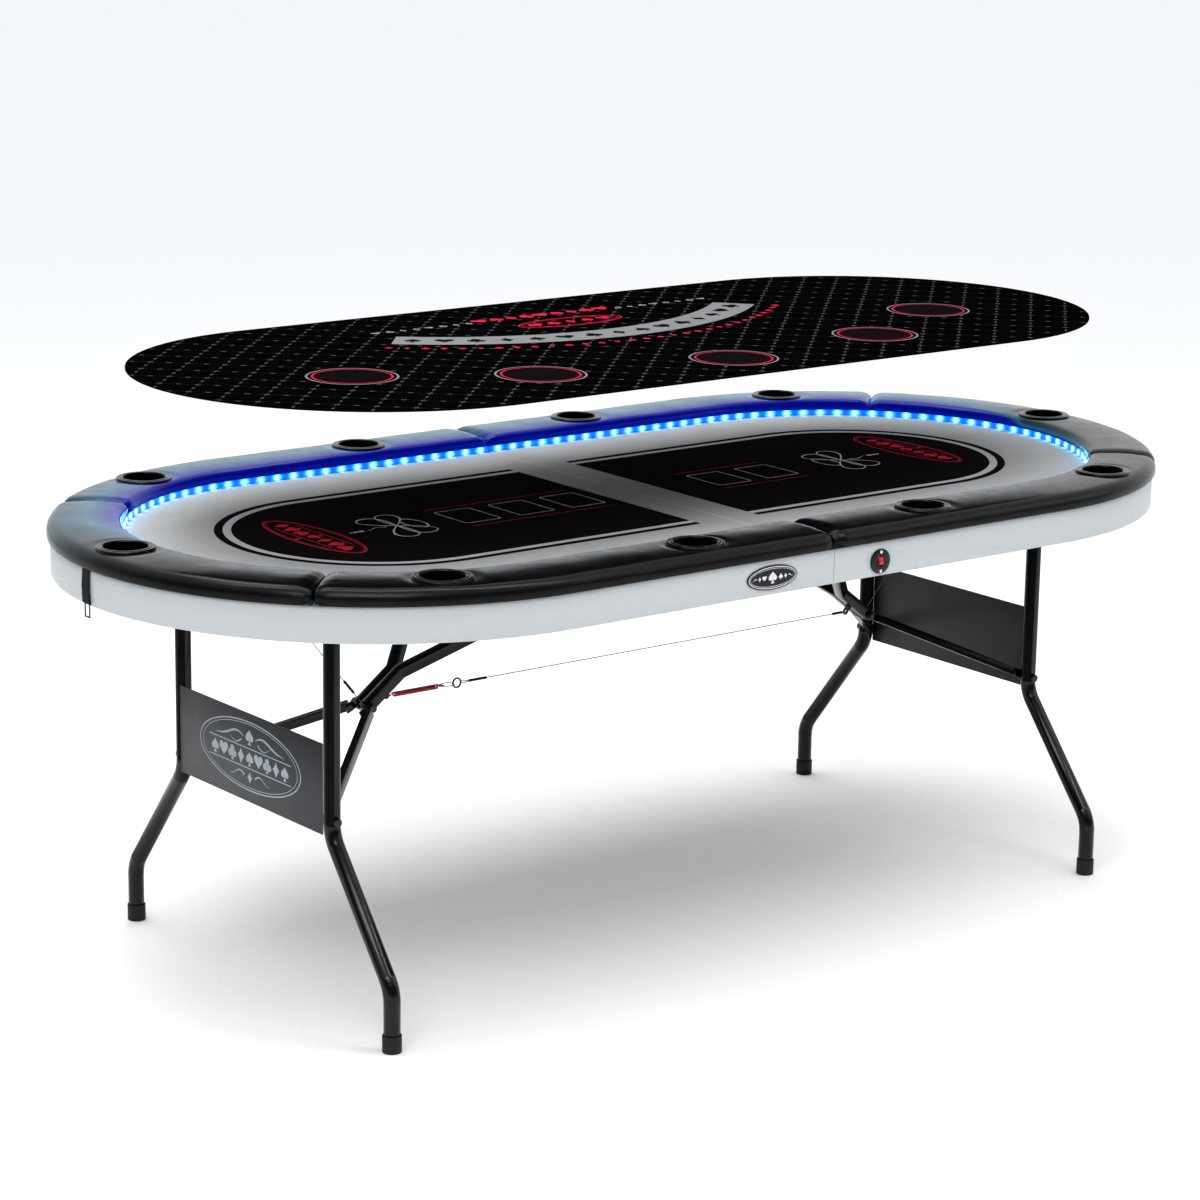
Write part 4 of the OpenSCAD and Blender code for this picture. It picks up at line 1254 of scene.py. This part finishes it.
# ---------------------------------------------------------------- trim
BADGE_AT = (-132 * MM, 701 * MM)
BADGE_HALF = (52 * MM, 20 * MM)
BADGE_T = 2.4 * MM
EMBLEM_Z = 386.2 * MM
EMBLEM_HALF = (150.8 * MM, 58.3 * MM)
DECAL_T = 0.15 * MM


def make_badge():
    """An oval plate with a rounded edge, a double silver rim and a row of suit pips."""
    rim = [ring((0, 0), BADGE_HALF[0] - 2.2 * MM, BADGE_HALF[1] - 2.2 * MM, 1.3 * MM),
           ring((0, 0), BADGE_HALF[0] - 5.2 * MM, BADGE_HALF[1] - 5.2 * MM, 0.7 * MM)]
    rim += pip("spade", (0, 0.5 * MM), 20 * MM)
    for flip in (1, -1):
        rim += pip("club" if flip > 0 else "heart", (flip * 17 * MM, 0), 9 * MM)
        rim += pip("diamond", (flip * 27 * MM, 0), 8 * MM)
        tail = [(flip * (33 + 9 * t) * MM, 1.6 * MM * sin(6 * t)) for t in shares(10)]
        rim += stroke(tail, lambda t: 1.3 * MM * (1.1 - t))

    def outline(inset):
        return ellipse((0, 0), BADGE_HALF[0] - inset, BADGE_HALF[1] - inset)

    plate = printed_sheet(outline, [rim], BADGE_T, BADGE_T, 0.8 * MM)
    upright = Matrix.Rotation(pi / 2, 4, "X")
    plate.transform(Matrix.Translation((BADGE_AT[0], -APRON_R, BADGE_AT[1])) @ upright)
    finishes = ["black_plastic", "bright", "black_plastic"]
    piece("maker_badge", plate, finishes, "left_half", ["badge"], 30)


def decal(shapes):
    """Thin flat prints, each cut from its own shape."""
    parts = []
    for shape in shapes:
        points, edges = outlined(shape)
        flat, _, faces = delaunay_2d_cdt(points, edges, [], 0, 1e-7)[:3]
        flat = np.array([tuple(p) for p in flat])
        faces = np.array(faces)
        faces = faces[inside(flat[faces].mean(1), shape)]
        parts.append(mesh_of([(x, y, DECAL_T) for x, y in flat], faces.tolist()))
    return joined(parts)


def emblem_shapes():
    """An oval around a spade with two scrolls, and a line above and below a row of pips."""
    shapes = [ring((0, 0), *EMBLEM_HALF, 2.2 * MM, 0, 96),
              ring((0, 0), 141.2 * MM, 53.6 * MM, 1.2 * MM, 0, 96)]
    for z, half in ((12.8 * MM, 122 * MM), (-20.7 * MM, 122 * MM)):
        shapes.append([rectangle(-half, z - 0.9 * MM, half, z + 0.9 * MM)])
    for i in range(9):
        shapes += pip(SUITS[(i + 4) % 4], ((i - 4) * 26 * MM, -4 * MM), 25 * MM)
    shapes += pip("spade", (0, 32 * MM), 27 * MM)
    shapes += pip("diamond", (0, -36 * MM), 18 * MM)
    for flip in (1, -1):
        curl = [(flip * (18 + 84 * t) * MM, (30 + 9 * sin(5.2 * t) * (1 - t) - 10 * t * t) * MM)
                for t in shares(40)]
        shapes += stroke(curl, lambda t: 4.2 * MM * sin(pi * (0.12 + 0.85 * t)))
        small = [(flip * (24 + 40 * t) * MM, (24 - 7 * sin(3.6 * t)) * MM) for t in shares(20)]
        shapes += stroke(small, lambda t: 2.6 * MM * (1.05 - t))
        low = [(flip * (16 + 46 * t) * MM, (-34 + 5 * sin(5.5 * t)) * MM) for t in shares(20)]
        shapes += stroke(low, lambda t: 3.0 * MM * (1.05 - t))
    return shapes


def make_emblems():
    for name, side in SIDES.items():
        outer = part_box("left_leg_panel")[0].x
        print_mesh = decal(emblem_shapes())
        # the print's x runs along the table's -Y, its y up, and it faces outward along -X
        turn = Matrix(((0, 0, -1, outer), (-1, 0, 0, 0), (0, 1, 0, EMBLEM_Z), (0, 0, 0, 1)))
        print_mesh.transform(turn)
        print_mesh = on_side(print_mesh, side)
        piece(f"{name}_panel_emblem", print_mesh, "emblem", f"{name}_legs", (), 0)


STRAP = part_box("strap")
STRAP_HEM = 15 * MM


def strap_ring(x, y, z, turn, thick):
    """A flat rounded section of the strap, turned a little about the vertical."""
    half_w = (STRAP[1].y - STRAP[0].y) / 2
    half_t = thick / 2
    ring_points = []
    for u, v in ((-1, -0.4), (-0.97, -1), (-0.5, -1), (0, -1), (0.5, -1), (0.97, -1), (1, -0.4),
                 (1, 0.4), (0.97, 1), (0.5, 1), (0, 1), (-0.5, 1), (-0.97, 1), (-1, 0.4)):
        along, out = u * half_w, v * half_t
        ring_points.append((x + out * cos(turn) - along * sin(turn),
                            y + along * cos(turn) + out * sin(turn), z))
    return ring_points


def make_strap():
    """Webbing that hangs with a slight twist, folded round the clip's bar and stitched."""
    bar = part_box("strap_clip")[1].z - 1 * MM
    x = STRAP[0].x
    y = (STRAP[0].y + STRAP[1].y) / 2
    length = STRAP[1].z - bar
    rings = []
    for i in range(33):
        t = i / 32
        z = STRAP[1].z - t * length
        hem = 1.0 if z - bar < STRAP_HEM else 0.0
        turn = 0.10 * sin(pi * t) * sin(4.0 * t)
        bow = 0.9 * MM * sin(pi * t) * (1 - 0.3 * sin(7 * t))
        thick = 1.5 * MM + hem * 1.6 * MM
        rings.append(strap_ring(x - 0.7 * MM - bow, y, z, turn, thick))
    loop = lathe([(0, -9.6 * MM), (1.9 * MM, -9.6 * MM), (2.1 * MM, -9 * MM), (2.1 * MM, 9 * MM),
                  (1.9 * MM, 9.6 * MM), (0, 9.6 * MM)], 24,
                 Matrix.Translation((x + 0.9 * MM, y, bar)) @ Matrix.Rotation(pi / 2, 4, "X"))
    piece("pull_strap", joined([loft(rings), loop]), "webbing", "left_half", ["strap"], 60)
    stitches = []
    for row in (STRAP_HEM - 2 * MM, STRAP_HEM - 5 * MM):
        for i in range(6):
            at = Vector((x - 2.6 * MM, y + (i - 2.5) * 2.9 * MM, bar + row))
            thread = [at + Vector((s * s * 0.5 * MM, s * 1.0 * MM, 0)) for s in (-1, -0.5, 0, 0.5, 1)]
            stitches.append(tube(thread, 0.3 * MM, 6))
    piece("strap_stitches", joined(stitches), "matte_plastic", "left_half", (), 60)


def screw(radius):
    """A pan-head screw that faces up, with a cross recess."""
    head = [(0, 0.62 * radius)]
    head += [(radius * sin(a) * 0.97, radius * (0.12 + 0.5 * cos(a))) for a in
             (pi / 2 * i / 6 for i in range(1, 7))]
    head += [(radius, 0.02 * radius), (radius, -0.1 * radius), (0, -0.1 * radius)]
    arm, width, depth = 0.55 * radius, 0.13 * radius, 0.3 * radius
    cross = [(arm, width), (width, width), (width, arm), (-width, arm), (-width, width), (-arm, width),
             (-arm, -width), (-width, -width), (-width, -arm), (width, -arm), (width, -width), (arm, -width)]
    cutter = loft([[(x * s, y * s, z) for x, y in cross] for s, z in ((0.6, depth), (1.0, radius))])
    return carved(lathe(head, 28), cutter)


def facing(point, direction):
    """A frame at a point, whose Z axis is the given direction."""
    turn = Vector((0, 0, 1)).rotation_difference(Vector(direction)).to_matrix().to_4x4()
    return Matrix.Translation(point) @ turn


def screws(radius, places, direction):
    master = screw(radius)
    copies = []
    for i, point in enumerate(places):
        copy = master.copy()
        copy.transform(facing(point, direction) @ Matrix.Rotation(0.7 * i, 4, "Z"))
        copies.append(copy)
    bpy.data.meshes.remove(master)
    return joined(copies)


HINGE_Y = 330 * MM
HINGE_SCREWS = (-28 * MM, 0, 28 * MM)
LEAF_LOW = 670.5 * MM
SADDLE_X, SADDLE_Y = 763 * MM, 110 * MM


def make_screws():
    low = (0, 0, -1)
    for name, side in SIDES.items():
        places = [(-20 * MM, flip * HINGE_Y + off, LEAF_LOW) for flip in (1, -1) for off in HINGE_SCREWS]
        mesh = on_side(screws(3.6 * MM, places, low), side)
        piece(f"{name}_hinge_screws", mesh, "zinc", f"{name}_half", (), 30)
        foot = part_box(f"{name}_brackets")[1].z - 3 * MM
        places = [(-SADDLE_X + dx, flip * SADDLE_Y, foot) for flip in (1, -1) for dx in (-24 * MM, 24 * MM)]
        mesh = on_side(screws(3.4 * MM, places, low), side)
        piece(f"{name}_saddle_screws", mesh, "zinc", f"{name}_half", (), 30)


# ---------------------------------------------------------------- pieces that keep the CAD shape
SHARP = radians(28)
HALF_LOOKS = {
    "board": ("board", 0.8 * MM), "rail_base": ("plywood", 0.6 * MM), "apron": ("apron", 1.0 * MM),
    "centre_beam": ("beam", 1.0 * MM), "hinge_leaves": ("zinc", 0.3 * MM), "brackets": ("bracket", 0.5 * MM),
    "leg_tube_front": ("leg", 0.4 * MM), "leg_tube_back": ("leg", 0.4 * MM),
    "leg_crossbar": ("leg", 0.4 * MM), "leg_panel": ("panel", 0.3 * MM),
    "foot_caps": ("rubber", 1.0 * MM), "leg_bolts": ("dark_steel", 0.5 * MM),
    "lower_braces": ("leg", 0.5 * MM), "hub_bolts": ("dark_steel", 0.5 * MM),
    "upper_braces": ("leg", 0.5 * MM),
}
LOOKS = {f"{name}_{node}": look for name in SIDES for node, look in HALF_LOOKS.items()}
LOOKS.update({
    "hinge_pins": ("bright", 0.3 * MM), "strap_clip": ("dark_steel", 0.3 * MM),
    "switch_plate": ("black_plastic", 0.8 * MM), "switch_screws": ("bright", 0.4 * MM),
    "switch_rocker": ("red_plastic", 0.5 * MM), "battery_box": ("matte_plastic", 0.8 * MM),
    "battery_cover": ("matte_plastic", 0.6 * MM),
})


def eased(node, width):
    """The node's own shape in the row frame, with its sharp edges rounded."""
    cad = frame["nodes"][node]
    bm = bmesh.new()
    bm.from_mesh(cad.data)
    bm.transform(cad.matrix_world)
    bmesh.ops.remove_doubles(bm, verts=bm.verts, dist=0.002 * MM)
    bmesh.ops.dissolve_limit(bm, angle_limit=radians(0.3), verts=bm.verts, edges=bm.edges)
    edges = [e for e in bm.edges if len(e.link_faces) == 2 and e.calc_face_angle(0) > SHARP]
    bmesh.ops.bevel(bm, geom=edges, offset=width, segments=2, affect="EDGES", profile=0.5, clamp_overlap=True)
    mesh = bpy.data.meshes.new("mesh")
    bm.to_mesh(mesh)
    bm.free()
    if "custom_normal" in mesh.attributes:
        mesh.attributes.remove(mesh.attributes["custom_normal"])
    return mesh


def make_cad_pieces():
    body_of = {body: name for name, body in frame["bodies"].items()}
    for node, (material, width) in LOOKS.items():
        body = body_of[frame["nodes"][node].parent]
        piece(f"{node}_finish", eased(node, width), material, body, [node], 30)


# ---------------------------------------------------------------- camera, light and floor
LENS, SENSOR = 104.316, 36
CAMERA_AT = Vector((-3.6535, -4.5766, 1.9737))
AZIMUTH, ELEVATION, ROLL = (radians(a) for a in (-38.12, 13.78, 0.894))


def make_camera():
    back = Vector((sin(AZIMUTH) * cos(ELEVATION), -cos(AZIMUTH) * cos(ELEVATION),
                   sin(ELEVATION)))
    across = Vector((cos(AZIMUTH), sin(AZIMUTH), 0))
    up = back.cross(across)
    x_axis = cos(ROLL) * across + sin(ROLL) * up
    y_axis = -sin(ROLL) * across + cos(ROLL) * up
    data = bpy.data.cameras.new("camera")
    data.lens, data.sensor_width = LENS, SENSOR
    data.clip_end = 100
    camera = bpy.data.objects.new("camera", data)
    camera.matrix_world = Matrix.Translation(CAMERA_AT) @ Matrix((x_axis, y_axis, back)).transposed().to_4x4()
    bpy.context.scene.collection.objects.link(camera)
    bpy.context.scene.camera = camera


def area_light(name, at, aim, size, power, colour=(1, 1, 1)):
    data = bpy.data.lights.new(name, "AREA")
    data.shape, data.size, data.size_y = "RECTANGLE", *size
    data.energy, data.color = power, colour
    light = bpy.data.objects.new(name, data)
    light.location = at
    light.rotation_euler = (Vector(aim) - Vector(at)).to_track_quat("-Z", "Y").to_euler()
    bpy.context.scene.collection.objects.link(light)


SKY_BEHIND, SKY_ABOVE, SKY_FRONT = 1.0, 1.0, 0.14


def make_world():
    """A room that is bright overhead, soft behind the table and dark behind the camera."""
    world = bpy.data.worlds.new("studio")
    world.use_nodes = True
    tree = world.node_tree

    def node(kind, *inputs, **settings):
        return add_node(tree, kind, inputs, settings)

    direction = node("TexCoord").outputs["Generated"]
    away = (-sin(AZIMUTH), cos(AZIMUTH), 0)
    ahead = node("VectorMath", (0, direction), (1, away), operation="DOT_PRODUCT").outputs["Value"]
    height = node("SeparateXYZ", (0, direction)).outputs["Z"]
    round_about = node("MapRange", (0, ahead), (1, -0.5), (2, 0.9), (3, SKY_FRONT), (4, SKY_BEHIND),
                       interpolation_type="SMOOTHSTEP").outputs[0]
    overhead = node("MapRange", (0, height), (1, 0.25), (2, 0.75), (3, 0.0), (4, 1.0),
                    interpolation_type="SMOOTHSTEP").outputs[0]
    strength = node("Mix", (0, overhead), (2, round_about), (3, SKY_ABOVE)).outputs[0]
    tree.links.new(strength, tree.nodes["Background"].inputs["Strength"])
    tree.nodes["Background"].inputs["Color"].default_value = (0.96, 0.98, 1.0, 1)
    return world


def make_studio():
    scene = bpy.context.scene
    scene.world = make_world()
    scene.view_settings.view_transform = "Standard"
    scene.view_settings.look = "Medium High Contrast"
    corners = [(-40, -40, -0.5 * MM), (40, -40, -0.5 * MM), (40, 40, -0.5 * MM), (-40, 40, -0.5 * MM)]
    floor = bpy.data.objects.new("floor", mesh_of(corners, [(0, 1, 2, 3)]))
    floor.data.materials.append(plastic_material("pale_floor", (0.93, 0.93, 0.93), 0.7, 0.0, 0.2))
    scene.collection.objects.link(floor)
    area_light("key", (-2.6, -2.2, 3.2), (0, 0, 0.6), (2.4, 1.6), 55)
    area_light("fill", (3.5, -3.0, 2.4), (0, 0, 0.6), (3, 2), 20)
    area_light("top", (0, 1.2, 3.6), (0, 0, 0.7), (3, 1.4), 50)
    area_light("strip", (-0.4, -0.9, 3.0), (0, -0.4, 0.7), (4.5, 0.2), 40)


make_pads()
make_cups()
make_lights()
make_well()
make_mat()
make_cables()
make_badge()
make_emblems()
make_strap()
make_screws()
make_cad_pieces()
make_camera()
make_studio()
